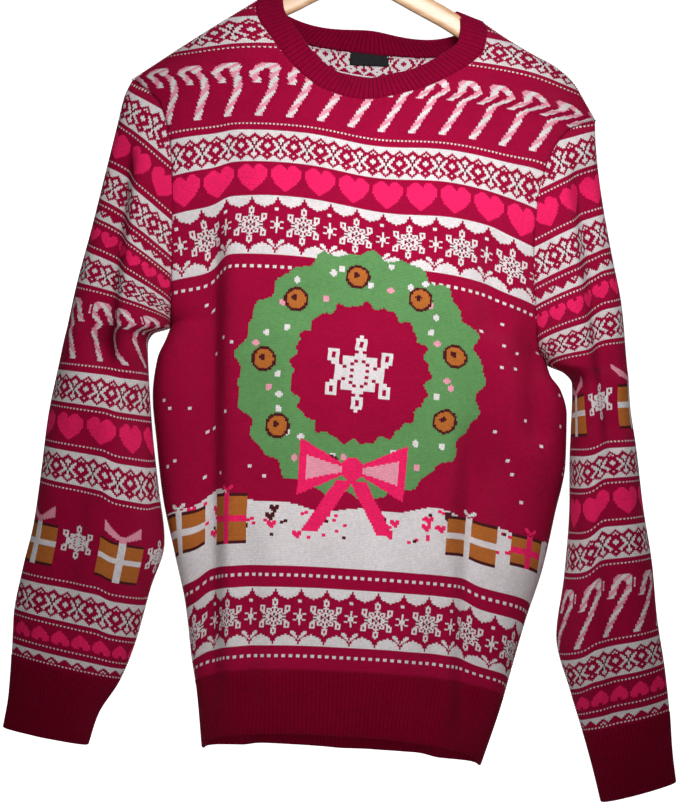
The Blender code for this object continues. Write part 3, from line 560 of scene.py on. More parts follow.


# Yarns by their number in a chart; the last, a dark maroon, is no yarn but painted shade in the grooves of
# the lattice and the flakes
CHERRY, WHITE, ROSE, BLUSH, FIR, GINGER, COCOA, GROOVE_SHADE = range(8)
LETTERS = {"#": WHITE, "x": GROOVE_SHADE, "r": ROSE}
# An x in a chart is a stitch of painted shade, dark maroon, where the pattern's grooves lie in shade
FAIR_ISLE_HALF = """
######## ######## .######. ..####.. ...##..# #.....#. ##...... ##..#... #x.##... #x##...# x.##..##
x##...## x##....# #x##.... #x.##... #...##.. ##..#... ##.....# #..##... ..####.. .######. ########
"""
FLAKE_QUARTER = """
#........ ##....... .#....... .#....... ##....... #.....### ##....#.# #x###.#.# #.#x#.### ##.##.##.
x###.##.. x#.##xx.. #xx####..
"""
STAR_QUARTER = "#... #... #... #.## ##.. ##x."
TINY_HEART = "##.## ##### ##### .###. ..#.."
VINE_LEAVES = "##.....## ###...### .##...##. ..##.##.. ...#.#... ....#...."
BIG_HEART = """
...###....###... ..#####..#####.. .#######.######. ################ ################ ################
################ ################ ################ .##############. .##############. ..############..
..############.. ...##########... ....########.... .....######..... ......####...... .......##.......
"""
SMALL_HEART = """
.###..###. ####..#### ########## ########## ########## .########. .########. ..######.. ...####...
....##....
"""


def motif_of(lines):
    """A chart of letters as yarns, lowest row first, -1 where the ground shows."""
    return np.array([[LETTERS.get(letter, -1) for letter in line] for line in lines[::-1]])


def unfolded(quarter):
    """A motif that is alike on both sides of its middle stitch and of its middle row."""
    upper = [line[:0:-1] + line for line in quarter.split()]
    return motif_of(upper + upper[-2::-1])


def repeat_motif(chart, motif, low, middle, period):
    """Lay a motif along a band once in each repeat, centred on a stitch."""
    height, width = motif.shape
    for stitch in range(chart.shape[1]):
        column = (stitch - middle + width // 2) % period
        if column < width:
            laid = motif[:, column] >= 0
            chart[low:low + height, stitch][laid] = motif[laid, column]


def lay(chart, motif, low, middle):
    """Lay one motif, centred on a stitch."""
    height, width = motif.shape
    left = middle - width // 2
    place = chart[low:low + height, left:left + width]
    place[motif >= 0] = motif[motif >= 0]


def fair_isle(chart, low, middle):
    """The lattice band, alike on both sides of its middle stitch."""
    whole = [line[6:0:-1] + line for line in FAIR_ISLE_HALF.split()]
    repeat_motif(chart, motif_of(whole), low, middle + 1, 14)


def dots(chart, low, every=2, size=1):
    """A dotted line of white."""
    for stitch in range(chart.shape[1]):
        if stitch % every < size:
            chart[low:low + size, stitch] = WHITE


def heart(lines, upside_down=False):
    """A plump rose heart."""
    motif = np.where(motif_of(lines.split()) == WHITE, ROSE, -1)
    return motif[::-1] if upside_down else motif


def snowflake_band(chart, low, middle):
    """Scallops above and below, a big flake at every other cusp and a small star between."""
    height = 39
    for stitch in range(chart.shape[1]):
        way = abs((stitch - middle) % 14 - 7) / 7.0
        depth = 1 if way == 1.0 else int(round(1.9 + 5.6 * (1.0 - way**2)))
        chart[low:low + depth, stitch] = WHITE
        chart[low + height - depth:low + height, stitch] = WHITE
    repeat_motif(chart, unfolded(FLAKE_QUARTER), low + 7, middle, 28)
    repeat_motif(chart, unfolded(STAR_QUARTER), low + 14, middle + 14, 28)
    repeat_motif(chart, motif_of(["##", "##"]), low + 29, middle + 14, 28)
    repeat_motif(chart, motif_of(VINE_LEAVES.split()), low + 4, middle + 14, 28)


# A cane's shaft starts at a stitch and leans; its crook is half a round with a short hanging arm
CANE_ROWS = 39
CANE_COLUMNS = 19
CANE_REPEAT = 16
CANE_FOOT = 2.2
CANE_LEAN = 0.41
CANE_ARM = 7.5
CANE_HALF_WIDTH = 1.85
CROOK_X, CROOK_ROW, CROOK_RADIUS = 10.8, 31.0, 4.1


def candy_cane():
    """A striped cane that leans to the right, its crook turned to the left over the next foot."""
    motif = np.full((CANE_ROWS, CANE_REPEAT), -1)
    for row in range(CANE_ROWS):
        for column in range(CANE_COLUMNS):
            below = CROOK_ROW - row
            if below > 0:
                arm = abs(column - CROOK_X + CROOK_RADIUS + 0.3 * below)
                away = abs(column - CANE_FOOT - CANE_LEAN * row)
                away = min(away, arm) if below < CANE_ARM else away
            else:
                away = abs(math.hypot(column - CROOK_X, below * 0.7) - CROOK_RADIUS)
            if away < CANE_HALF_WIDTH:
                striped = (row - 1.1 * column) % 6.6 < 3.2
                motif[row, column % CANE_REPEAT] = BLUSH if striped else WHITE
    return motif


def teeth(chart, low, middle, hanging):
    """A narrow zigzag of white with three dots at every other gap."""
    for stitch in range(chart.shape[1]):
        depth = 2 + max(0, 3 - abs((stitch - middle) % 7 - 3))
        rows = slice(low + 6 - depth, low + 6) if hanging else slice(low, low + depth)
        chart[rows, stitch] = WHITE
    three_dots = motif_of([".#.", "#.#"] if hanging else ["#.#", ".#."])
    repeat_motif(chart, three_dots, low if hanging else low + 4, middle, 14)


PANEL_LEFT = -150
PANEL_ROWS = 472
# The grid starts with some stitches too many, which are drawn in to the edge
SPARE_STITCHES = 20


def panel_chart(face):
    """The body's chart: bands below and on the chest, between them a field for the picture."""
    chart = np.full((476, 301), CHERRY)
    middle = -PANEL_LEFT - 4
    for low in (9, 63, 260):
        dots(chart, low, 4, 2)
    for low in (357, 414, 446):
        dots(chart, low)
    for low in (17, 269):
        snowflake_band(chart, low, middle)
    for low in (331, 418):
        fair_isle(chart, low, middle)
    repeat_motif(chart, heart(BIG_HEART), 311, middle + 16, 18)
    repeat_motif(chart, candy_cane(), 363, middle + 16, CANE_REPEAT)
    snow_ground(chart, face)
    return chart


def inner_chart(chart):
    """The inside of two-coloured knit: a row of two yarns shows the other one, a plain row its own."""
    inside = chart.copy()
    for row in range(chart.shape[0]):
        yarns = np.unique(chart[row])
        if len(yarns) == 2:
            inside[row] = np.where(chart[row] == yarns[0], yarns[1], yarns[0])
        elif len(yarns) == 3 and GROOVE_SHADE in yarns:
            inside[row] = np.where(chart[row] == WHITE, CHERRY, WHITE)
    return inside


def snow_ground(chart, face):
    """Snow that lies in low drifts, sprinkled with small rose and cocoa dots and hearts."""
    for stitch in range(chart.shape[1]):
        x = (stitch + PANEL_LEFT) * STITCH
        if face == "back":
            x = -x
        drift = 108.0 + 10.0 * math.exp(-(((x + 13.0) / 6.0) ** 2))
        drift += 5.0 * math.exp(-(((x - 9.0) / 5.0) ** 2))
        drift += 1.5 * math.sin(0.9 * x)
        chart[70:int(drift), stitch] = WHITE
    sprinkle = np.random.default_rng(7)
    for _ in range(230):
        stitch = int(sprinkle.integers(2, chart.shape[1] - 4))
        low = int(sprinkle.integers(88, 116))
        if chart[low + 2, stitch] == WHITE:
            yarn = ROSE if sprinkle.random() < 0.7 else COCOA
            chart[low:low + 2, stitch:stitch + 2] = yarn
            if sprinkle.random() < 0.3 and np.all(chart[low + 2:low + 4, stitch - 2:stitch + 4] == WHITE):
                lay(chart, np.where(motif_of(TINY_HEART.split()) == WHITE, yarn, -1), low, stitch)
    for _ in range(90):
        stitch = int(sprinkle.integers(2, chart.shape[1] - 4))
        low = int(sprinkle.integers(126, 254))
        if np.all(chart[low - 2:low + 4, stitch - 2:stitch + 4] == CHERRY):
            chart[low:low + 2, stitch:stitch + 2] = WHITE


# A knit row is lower than a stitch is wide
ROW_TO_STITCH = 0.8


def disc(chart, x, row, radius, yarn, ragged=0.0):
    """A patch that is round on the cloth, its radius in stitches."""
    for up in range(int(row - 1.3 * radius) - 2, int(row + 1.3 * radius) + 3):
        for along in range(int(x - radius) - 2, int(x + radius) + 3):
            height = (up - row) * ROW_TO_STITCH
            angle = math.atan2(height, along - x)
            edge = radius + ragged * (math.sin(17.0 * angle) + 0.7 * math.sin(29.0 * angle + 1.0))
            if math.hypot(along - x, height) < edge:
                chart[up, along] = yarn


def around(x, row, radius, angle):
    """The stitch and row at an angle on a round."""
    return x + radius * math.cos(angle), row + radius * math.sin(angle) / ROW_TO_STITCH


def parcel(chart, x, low, width, height, ribbon):
    """A brown parcel tied with a ribbon and a small bow."""
    body = chart[low:low + height, x:x + width]
    body[:] = GINGER
    body[:2] = COCOA
    body[-2:] = COCOA
    body[:, width // 2 - 2:width // 2 + 2] = ribbon
    body[height // 2 - 2:height // 2 + 2] = ribbon
    bow = motif_of(["rr....rr", "rrr..rrr", ".rrrrrr.", "...rr...", "..r..r.."])
    bow = np.where(bow == ROSE, ribbon, -1)
    lay(chart, bow, low + height, x + width // 2)


def wreath_picture(chart):
    """A fir wreath with cones, berries and a bow, hung from a ribbon, with a flake inside it."""
    x, row = -PANEL_LEFT + 4, 196
    chart[row + 60:268, x - 4:x + 4] = ROSE
    disc(chart, x, row, 64, FIR, 1.6)
    disc(chart, x, row, 36, CHERRY, 1.2)
    lights = np.random.default_rng(3)
    for step in range(46):
        angle = 2.0 * math.pi * step / 46 + 0.1 * lights.random()
        along, up = around(x, row, 41 + 19 * lights.random(), angle)
        disc(chart, along, up, 1.7, WHITE if step % 3 else BLUSH)
    for step in range(9):
        along, up = around(x, row, 51, 2.0 * math.pi * (step + 0.4) / 9)
        disc(chart, along, up, 6.5, COCOA)
        disc(chart, along, up, 5.0, GINGER)
        disc(chart, along - 1, up + 1, 1.6, COCOA)
    flake = np.kron(unfolded(FLAKE_QUARTER), np.ones((2, 2), dtype=int))
    lay(chart, np.where(flake == GROOVE_SHADE, WHITE, flake), row - 25, x)
    knot = row - 62
    for side in (-1, 1):
        for step in range(26):
            height = int(3 + 0.62 * step)
            along = x + side * (3 + step)
            chart[knot - height:knot + height, along] = ROSE
            if step < 22:
                chart[knot - height // 2:knot + height // 2, along] = BLUSH
        for step in range(34):
            along = x + side * (4 + int(0.5 * step))
            chart[knot - 8 - step, along - 4:along + 5] = ROSE
    disc(chart, x, knot, 6.0, ROSE)


class Finish:
    """A node material, with short ways to add nodes and link them."""

    def __init__(self, name):
        self.material = bpy.data.materials.new(name)
        self.material.use_nodes = True
        self.tree = self.material.node_tree
        self.shader = self.tree.nodes["Principled BSDF"]

    def add(self, kind, **settings):
        node = self.tree.nodes.new(kind)
        for name, value in settings.items():
            setattr(node, name, value)
        return node

    def put(self, values):
        """Give the shader's sockets their values or links by name."""
        for name, value in values.items():
            self.link(value, self.shader.inputs[name])

    def link(self, value, socket):
        if isinstance(value, bpy.types.NodeSocket):
            self.tree.links.new(value, socket)
        else:
            socket.default_value = value

    def math(self, operation, *values):
        node = self.add("ShaderNodeMath", operation=operation)
        for value, socket in zip((*values, 0.0, 0.0), node.inputs):
            self.link(value, socket)
        return node.outputs[0]

    def place(self):
        return self.add("ShaderNodeTexCoord").outputs["Object"]

    def mix(self, factor, first, second, blend="MIX"):
        node = self.add("ShaderNodeMix", data_type="RGBA", blend_type=blend)
        for value, socket in zip((factor, first, second), (node.inputs[0], node.inputs[6], node.inputs[7])):
            self.link(value, socket)
        return node.outputs[2]

    def noise(self, scale, detail=2.0, vector=None):
        node = self.add("ShaderNodeTexNoise")
        node.inputs["Scale"].default_value = scale
        node.inputs["Detail"].default_value = detail
        self.link(self.place() if vector is None else vector, node.inputs["Vector"])
        return node.outputs["Fac"]

    def ramp(self, value, stops, constant=False):
        node = self.add("ShaderNodeValToRGB")
        node.color_ramp.interpolation = "CONSTANT" if constant else "LINEAR"
        points = node.color_ramp.elements
        while len(points) < len(stops):
            points.new(1.0)
        for point, (position, colour) in zip(points, stops):
            point.position = position
            point.color = (*colour, 1.0)
        self.link(value, node.inputs["Fac"])
        return node.outputs["Color"]

    def bump(self, height, distance, strength=1.0, normal=None):
        node = self.add("ShaderNodeBump")
        node.inputs["Distance"].default_value = distance
        node.inputs["Strength"].default_value = strength
        self.link(height, node.inputs["Height"])
        if normal is not None:
            self.link(normal, node.inputs["Normal"])
        return node.outputs["Normal"]


YARN_COLOURS = {
    CHERRY: (0.37, 0.0028, 0.042),
    WHITE: (0.82, 0.76, 0.775),
    ROSE: (0.97, 0.018, 0.14),
    BLUSH: (0.88, 0.34, 0.44),
    FIR: (0.13, 0.32, 0.11),
    GINGER: (0.5, 0.15, 0.03),
    COCOA: (0.08, 0.012, 0.015),
    GROOVE_SHADE: (0.16, 0.002, 0.02),
}
KNIT_BUMP = 0.0009


def yarn_cell(finish):
    """Where a point lies in its stitch, and how high the two legs of the stitch stand there."""
    places = finish.add("ShaderNodeUVMap", uv_map="stitches").outputs["UV"]
    parts = finish.add("ShaderNodeSeparateXYZ")
    finish.link(places, parts.inputs[0])
    stitch, row = parts.outputs[0], parts.outputs[1]
    off = finish.math("ABSOLUTE", finish.math("SUBTRACT", finish.math("FRACT", stitch), 0.5))
    off = finish.math("MULTIPLY", off, 2.0)
    slant = finish.math("MULTIPLY_ADD", off, -0.5, 0.5)
    raised = finish.math("ADD", row, slant)
    leg = finish.math("SINE", finish.math("MULTIPLY", off, math.pi))
    leg = finish.math("POWER", finish.math("MAXIMUM", leg, 0.0), 0.7)
    turn = finish.math("SINE", finish.math("MULTIPLY", finish.math("FRACT", raised), math.pi))
    turn = finish.math("POWER", finish.math("MAXIMUM", turn, 0.0), 0.5)
    return stitch, row, raised, finish.math("MULTIPLY", leg, turn)


def knit_relief(finish, colour, height, stitch, raised):
    """Painted shade between the legs, unevenly dyed and spun yarn, a soft nap, and the relief."""
    cell = finish.add("ShaderNodeCombineXYZ")
    finish.link(finish.math("FLOOR", stitch), cell.inputs[0])
    finish.link(finish.math("FLOOR", raised), cell.inputs[1])
    each = finish.add("ShaderNodeTexWhiteNoise", noise_dimensions="2D")
    finish.link(cell.outputs[0], each.inputs["Vector"])
    tone_and_gap_shade = finish.math("MULTIPLY_ADD", each.outputs["Value"], 0.16, 0.92)
    # Painted shade: the colour is darkened where the legs stand low, between them
    tone_and_gap_shade = finish.math("MULTIPLY", tone_and_gap_shade, finish.math("MULTIPLY_ADD", height, 0.42, 0.66))
    tone_and_gap_shade = finish.math("MULTIPLY", tone_and_gap_shade, finish.math("MULTIPLY_ADD", finish.noise(26.0, 4.0), 0.24, 0.88))
    shade = finish.mix(1.0, colour, (1.0, 1.0, 1.0, 1.0), "MULTIPLY")
    grey = finish.add("ShaderNodeCombineColor")
    for socket in grey.inputs[:3]:
        finish.link(tone_and_gap_shade, socket)
    finish.link(grey.outputs[0], shade.node.inputs[7])
    nap = finish.bump(finish.noise(2600.0, 2.0), 0.0003, 0.5)
    finish.put({
        "Base Color": shade,
        "Normal": finish.bump(height, KNIT_BUMP, 0.9, nap),
        "Roughness": 0.88,
        "Specular IOR Level": 0.025,
        "Sheen Weight": 0.03,
        "Sheen Roughness": 0.4,
        "Sheen Tint": (1.0, 0.4, 0.5, 1.0),
    })


def jacquard(name, codes):
    """Patterned knit: each face's number in the named attribute holds two by three yarns."""
    finish = Finish(name)
    stitch, row, raised, height = yarn_cell(finish)
    column = finish.math("MODULO", finish.math("FLOOR", stitch), 2.0)
    block = finish.math("MULTIPLY", finish.math("FLOOR", finish.math("MULTIPLY", row, 0.5)), 2.0)
    above = finish.math("FLOOR", finish.math("SUBTRACT", raised, block))
    digit = finish.math("MULTIPLY_ADD", above, 2.0, column)
    code = finish.add("ShaderNodeAttribute", attribute_name=codes).outputs["Fac"]
    code = finish.math("ADD", code, 0.25)
    code = finish.math("FLOOR", finish.math("DIVIDE", code, finish.math("POWER", 8.0, digit)))
    yarn = finish.math("MODULO", code, 8.0)
    stops = [(number / 8.0, YARN_COLOURS[number]) for number in range(8)]
    colour = finish.ramp(finish.math("MULTIPLY_ADD", yarn, 0.125, 0.0625), stops, constant=True)
    knit_relief(finish, colour, height, stitch, raised)
    return finish.material


knit_face = jacquard("jacquard_face", "yarns")
knit_wrong_side = jacquard("jacquard_wrong_side", "inner_yarns")
drapes = {"front": panel_drape("front"), "back": panel_drape("back")}


# Each parcel's left edge, foot, width, height and ribbon
PARCELS = (
    (-112, 88, 30, 24, WHITE), (-74, 84, 24, 32, ROSE), (58, 84, 34, 26, WHITE), (100, 88, 22, 20, ROSE),
)


def cloth_panel(face):
    """A whole panel: its grid of stitches laid on its drape."""
    stitches = np.arange(PANEL_LEFT - SPARE_STITCHES, -PANEL_LEFT + SPARE_STITCHES + 1, 2)
    grid = panel_grid(face, drapes[face], stitches, np.arange(0, PANEL_ROWS, 2))
    points, stitch, row, opening = grid
    uv = np.stack([stitch, row], axis=-1)
    chart = panel_chart(face)
    if face == "front":
        wreath_picture(chart)
        for left, *sizes in PARCELS:
            parcel(chart, left - PANEL_LEFT, *sizes)
    piece = knit_piece(face + "_cloth", points, uv, chart, PANEL_LEFT, face == "front", opening)
    return give_thickness(piece)


front_cloth = cloth_panel("front")
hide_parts("front_panel")
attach(front_cloth, "root")

# ---------------------------------------------------------------- back panel
# The back is knitted like the front, with a shallow neck and the same bands; it has no picture.
back_cloth = cloth_panel("back")
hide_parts("back_panel")
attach(back_cloth, "root")

# ---------------------------------------------------------------- sleeves
# Each sleeve is one set-in tube of the same jacquard, knitted from the cuff up and linked into the
# armhole. It hangs flat and open, folded under at the armhole, its bands drooping towards the body.
Sleeve = namedtuple("Sleeve", "outer_z outer_x inner_z inner_x front back")
SLEEVES = {
    "left": rows_of(
        Sleeve,
        (-79.2, -31.6, -80.5, -23.6, -1.4, 1.3), (-76.0, -31.2, -77.6, -22.8, -1.6, 1.5),
        (-72.4, -31.1, -74.3, -20.9, -2.1, 1.9), (-69.0, -31.1, -71.0, -19.7, -2.6, 2.3),
        (-64.0, -30.4, -65.5, -18.4, -3.2, 2.8), (-60.0, -29.6, -61.3, -17.3, -3.6, 3.2),
        (-55.0, -29.1, -56.0, -18.1, -4.2, 3.7), (-50.0, -28.7, -50.8, -18.9, -4.6, 4.1),
        (-45.0, -27.9, -45.4, -19.5, -4.8, 4.3), (-42.6, -27.5, -42.6, -19.7, -4.8, 4.4),
        (-41.6, -27.3, -41.6, -19.2, -4.8, 4.4), (-41.0, -27.2, -41.0, -17.6, -4.8, 4.4),
        (-37.5, -26.6, -37.5, -17.6, -4.6, 4.3), (-32.0, -25.4, -32.0, -17.7, -4.1, 3.9),
        (-26.0, -24.2, -26.0, -18.1, -3.1, 3.0), (-22.0, -23.4, -22.0, -18.8, -2.2, 2.2),
        (-19.5, -22.9, -19.5, -20.0, -1.4, 1.4), (-17.9, -22.2, -17.9, -22.2, 0.0, 0.0),
    ),
    "right": rows_of(
        Sleeve,
        (-81.5, 31.7, -83.7, 24.8, -1.4, 1.3), (-78.5, 31.2, -80.6, 23.9, -1.6, 1.5),
        (-74.9, 30.8, -77.2, 22.8, -2.0, 1.8), (-71.0, 30.2, -73.5, 21.5, -2.8, 2.5),
        (-66.0, 29.2, -68.0, 19.9, -3.6, 3.1), (-61.0, 28.5, -62.5, 20.4, -4.3, 3.7),
        (-56.0, 27.45, -57.0, 20.6, -5.0, 4.3), (-50.0, 26.45, -50.6, 20.4, -5.5, 4.8),
        (-46.4, 25.75, -46.6, 20.4, -5.5, 4.8), (-44.5, 25.55, -44.5, 20.3, -5.5, 4.8),
        (-43.5, 25.45, -43.5, 19.4, -5.4, 4.8), (-42.9, 25.35, -42.9, 17.8, -5.3, 4.7),
        (-37.0, 24.55, -37.0, 16.5, -4.8, 4.3), (-32.0, 23.35, -32.0, 16.0, -4.2, 3.8),
        (-27.0, 22.25, -27.0, 16.3, -3.2, 3.0), (-23.5, 21.65, -23.5, 17.2, -2.3, 2.3),
        (-21.3, 21.4, -21.3, 18.6, -1.4, 1.4), (-19.8, 21.3, -19.8, 21.3, 0.0, 0.0),
    ),
}
SLEEVE_FOLDS = {
    ("left", "front"): rows_of(
        Fold,
        (-22.3, -27.0, -23.2, -43.0, 1.9, 2.2, 0.8, 6.0),
        (-23.4, -43.0, -19.2, -50.5, 1.4, 1.3, 1.3, 2.5),
        (-24.4, -52.0, -26.0, -66.0, 0.8, 1.8, 1.2, 5.0),
    ),
    ("left", "back"): rows_of(
        Fold,
        (-21.5, -29.0, -24.0, -50.0, -1.8, 1.0, 2.0, 7.0),
        (-23.0, -58.0, -26.5, -72.0, -0.7, 1.4, 1.6, 5.0),
    ),
    ("right", "front"): rows_of(
        Fold,
        (20.1, -27.0, 23.4, -48.0, 1.9, 0.8, 2.2, 6.0), (23.2, -54.0, 25.4, -74.0, 1.1, 1.0, 1.8, 6.0),
    ),
    ("right", "back"): rows_of(
        Fold,
        (20.6, -30.0, 22.6, -52.0, -1.7, 2.0, 1.0, 7.0),
        (24.6, -58.0, 26.6, -73.0, -0.7, 1.6, 1.4, 5.0),
    ),
}


# Where the knit rows of a sleeve lie on its outer edge, and how much lower they meet the seam
SleeveRow = namedtuple("SleeveRow", "row outer_z droop")
SLEEVE_ROWS = {
    "left": rows_of(
        SleeveRow,
        (0, -72.4, 0.0), (31, -68.4, 0.1), (61, -64.5, 0.1), (127, -55.9, 0.9), (153, -52.5, 0.5),
        (182, -48.7, 0.3), (212, -44.8, 0.2), (261, -37.6, 3.0), (291, -33.5, 5.0), (320, -29.6, 5.4),
        (350, -25.6, 5.0), (375, -22.2, 4.2), (401, -18.75, 2.0), (408, -17.92, 0.0),
    ),
    "right": rows_of(
        SleeveRow,
        (0, -74.9, 0.0), (35, -70.2, 0.1), (61, -67.1, 0.1), (110, -60.5, -0.2), (140, -56.6, -0.2),
        (165, -53.3, -0.2), (195, -49.6, -0.1), (261, -40.4, 2.6), (291, -36.4, 3.5),
        (320, -32.1, 3.5), (350, -27.9, 3.4), (375, -24.3, 3.0), (401, -20.75, 1.2),
        (408, -19.82, 0.0),
    ),
}


SLEEVE_WAVE_DEPTH = 0.05
SLEEVE_ROUNDS = 24
CAP_ROW = 215


def sleeve_section(side, face, sleeve, start, end):
    """One half of a sleeve's ring, from the body side to the outer edge."""
    inner_round = 2.0 - 0.6 * min(abs(start[1] - SIDE_Y) / 2.5, 1.0)
    folds = SLEEVE_FOLDS[side, face]
    return bowed_section(start, end, getattr(sleeve, face), (5.0, 5.0), (inner_round, 2.0), folds)


def sleeve_drape(side):
    """The drape of a sleeve by the height of its outer edge: halves run from there to the seam."""
    low, high = SLEEVES[side][0].outer_z, SLEEVES[side][-1].outer_z
    underarm = body_edge("front", side, UNDERARM_ROW)[2]
    levels = np.arange(low, high + 0.1, 0.2)
    levels = levels * (high - low) / (levels[-1] - levels[0])
    levels += low - levels[0]
    halves, ways = [], []
    for level in levels:
        sleeve = smooth_row(SLEEVES[side], "outer_z", level)
        both = []
        for face in ("front", "back"):
            start = (sleeve.inner_x, SIDE_Y, sleeve.inner_z)
            if level > underarm:
                seam = smooth_row(ARMHOLES[side], "z", level)
                start = (getattr(seam, face + "_x"), getattr(seam, face + "_y"), level)
            points = sleeve_section(side, face, sleeve, start, (sleeve.outer_x, 0.0, level))[0]
            x = points[:, 0]
            free = np.clip(np.minimum(x - x.min(), x.max() - x), 0, 2)
            narrow = min(abs(x[0] - x[-1]) / 6.0, 1.0)
            points[:, 1] += SLEEVE_WAVE_DEPTH * soft_waves(points) * free / 2.0 * narrow
            both.append(half_section(points[::-1]))
        halves.append([half for half, way in both])
        ways.append([way for half, way in both])
    return Drape(levels, halves, ways)


SLEEVE_SAGS = {
    "left": rows_of(Sag, (-20.4, -60.0, 2.2, 12.0, 0.5, 6.0)),
    "right": rows_of(Sag, (18.6, -38.0, 3.4, 7.0, 0.5, 8.0), (19.2, -60.0, 3.6, 13.0, 1.0, 8.0)),
}


def sleeve_grid(side, drape, stitches, rows):
    """A sleeve's knit grid: distance from its outer edge, and the level at which each stitch hangs."""
    marks = [smooth_row(SLEEVE_ROWS[side], "row", row) for row in rows]
    outer_z = np.array([mark.outer_z for mark in marks])[:, None]
    droop = np.array([mark.droop for mark in marks])[:, None]
    power = np.where(rows > CAP_ROW, 1.6, 1.0)[:, None]
    distance = np.repeat((stitches * STITCH)[None, :], len(rows), axis=0)
    level = np.repeat(outer_z, len(stitches), axis=1)
    for _ in range(SLEEVE_ROUNDS):
        lower = outer_z - droop * drape.share(level, distance) ** power
        folded = sag_at(SLEEVE_SAGS[side], drape.place(level, distance), rows[:, None] * KNIT_ROW)
        level = 0.5 * level + 0.5 * (lower - np.where(distance > 0, 0.0, folded))
    return np.sign(distance) * np.minimum(np.abs(distance), drape.reach(level, distance)), level


SLEEVE_LEFT = -90
SLEEVE_TOP_ROW = 408


def present_motif():
    """A small brown parcel with a white ribbon and bow."""
    motif = np.full((46, 26), -1)
    motif[0:30, 1:25] = GINGER
    motif[0:2, 1:25] = COCOA
    motif[28:30, 1:25] = COCOA
    motif[0:30, 11:15] = WHITE
    motif[14:18, 1:25] = WHITE
    for step in range(10):
        motif[31 + step // 2:34 + step, 12 - step] = BLUSH
        motif[31 + step // 2:34 + step, 13 + step] = BLUSH
    motif[30:35, 11:15] = BLUSH
    return motif


def sleeve_chart(side):
    """The sleeve's bands; the canes and the parcels change places from one sleeve to the other."""
    chart = np.full((412, 181), CHERRY)
    middle = -SLEEVE_LEFT
    for low in (2, 14, 31, 61, 261, 291, 308, 320, 350, 375, 405):
        dots(chart, low)
    teeth(chart, 4, middle, hanging=True)
    repeat_motif(chart, heart(SMALL_HEART, upside_down=True), 18, middle, 11)
    repeat_motif(chart, heart(SMALL_HEART), 295, middle, 11)
    teeth(chart, 311, middle, hanging=False)
    repeat_motif(chart, heart(BIG_HEART), 354, middle + 9, 18)
    parcels_low, canes_low = (70, 216) if side == "left" else (204, 64)
    first = (127, 131, 157, 161, 182, 186, 212) if side == "left" else (110, 114, 140, 144, 165, 169, 195)
    for low in (first[0], first[2], first[4], first[6]):
        dots(chart, low)
    repeat_motif(chart, heart(BIG_HEART), first[3], middle + 9, 18)
    for low in (35, first[1], first[5], 265, 324, 379):
        fair_isle(chart, low, middle)
    repeat_motif(chart, candy_cane(), canes_low, middle, 17)
    repeat_motif(chart, present_motif(), parcels_low, middle - 12, 48)
    star = unfolded(FLAKE_QUARTER)
    repeat_motif(chart, np.where(star == GROOVE_SHADE, WHITE, star), parcels_low + 8, middle + 12, 48)
    return chart


sleeve_drapes = {}
for side in ("left", "right"):
    sleeve_drapes[side] = sleeve_drape(side)
    rows = np.arange(0, SLEEVE_TOP_ROW + 1, 2)
    stitches = np.arange(SLEEVE_LEFT, -SLEEVE_LEFT + 1, 2)
    distance, level = sleeve_grid(side, sleeve_drapes[side], stitches, rows)
    points = sleeve_drapes[side].place(level, distance)
    each_row = np.repeat(rows[:, None], len(stitches), axis=1)
    uv = np.stack([distance / STITCH + FIRST_STITCH, each_row], axis=-1)
    chart = sleeve_chart(side)
    sleeve = give_thickness(
        knit_piece(side + "_sleeve_cloth", points, uv, chart, SLEEVE_LEFT, side == "right"))
    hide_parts(side + "_sleeve")
    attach(sleeve, "root")

# ---------------------------------------------------------------- neck rib
# The collar is a band of one by one rib, linked to the neck edge and standing up round the neck.
NECK_RIB_PITCH = 0.48
RIB_THICKNESS = 0.3
HALF_RIB_THICKNESS = 0.15
NECK_RIB_HEIGHT = 0.11
RIB_SAMPLES = 6
NECK_RIB_WIDTH = 2.2


def plain_rib(name, colour, valley_shade):
    """Rib yarn of one colour, each rib a column of stitches, with painted shade in the valleys between."""
    finish = Finish(name)
    stitch, row, raised, height = yarn_cell(finish)
    top = finish.math("SINE", finish.math("MULTIPLY", finish.math("FRACT", stitch), math.pi))
    # Painted shade: the colour is darkened by a share in the valleys between the ribs
    deep = tuple(part * (1.0 - valley_shade) for part in colour)
    knit_relief(finish, finish.ramp(top, [(0.1, deep), (0.75, colour)]), height, stitch, raised)
    return finish.material


def rib_profile(count):
    """Heights of the ribs round a ring, full on the knit columns and low on the purl ones."""
    phase = np.arange(count) % RIB_SAMPLES / RIB_SAMPLES
    return np.sqrt(np.maximum(np.sin(math.pi * phase), 0.0))


def turn_outwards(mesh):
    """Faces of a closed mesh point outwards and are smoothly shaded."""
    shape = bmesh.new()
    shape.from_mesh(mesh)
    bmesh.ops.recalc_face_normals(shape, faces=shape.faces)
    shape.to_mesh(mesh)
    shape.free()
    mesh.shade_smooth()


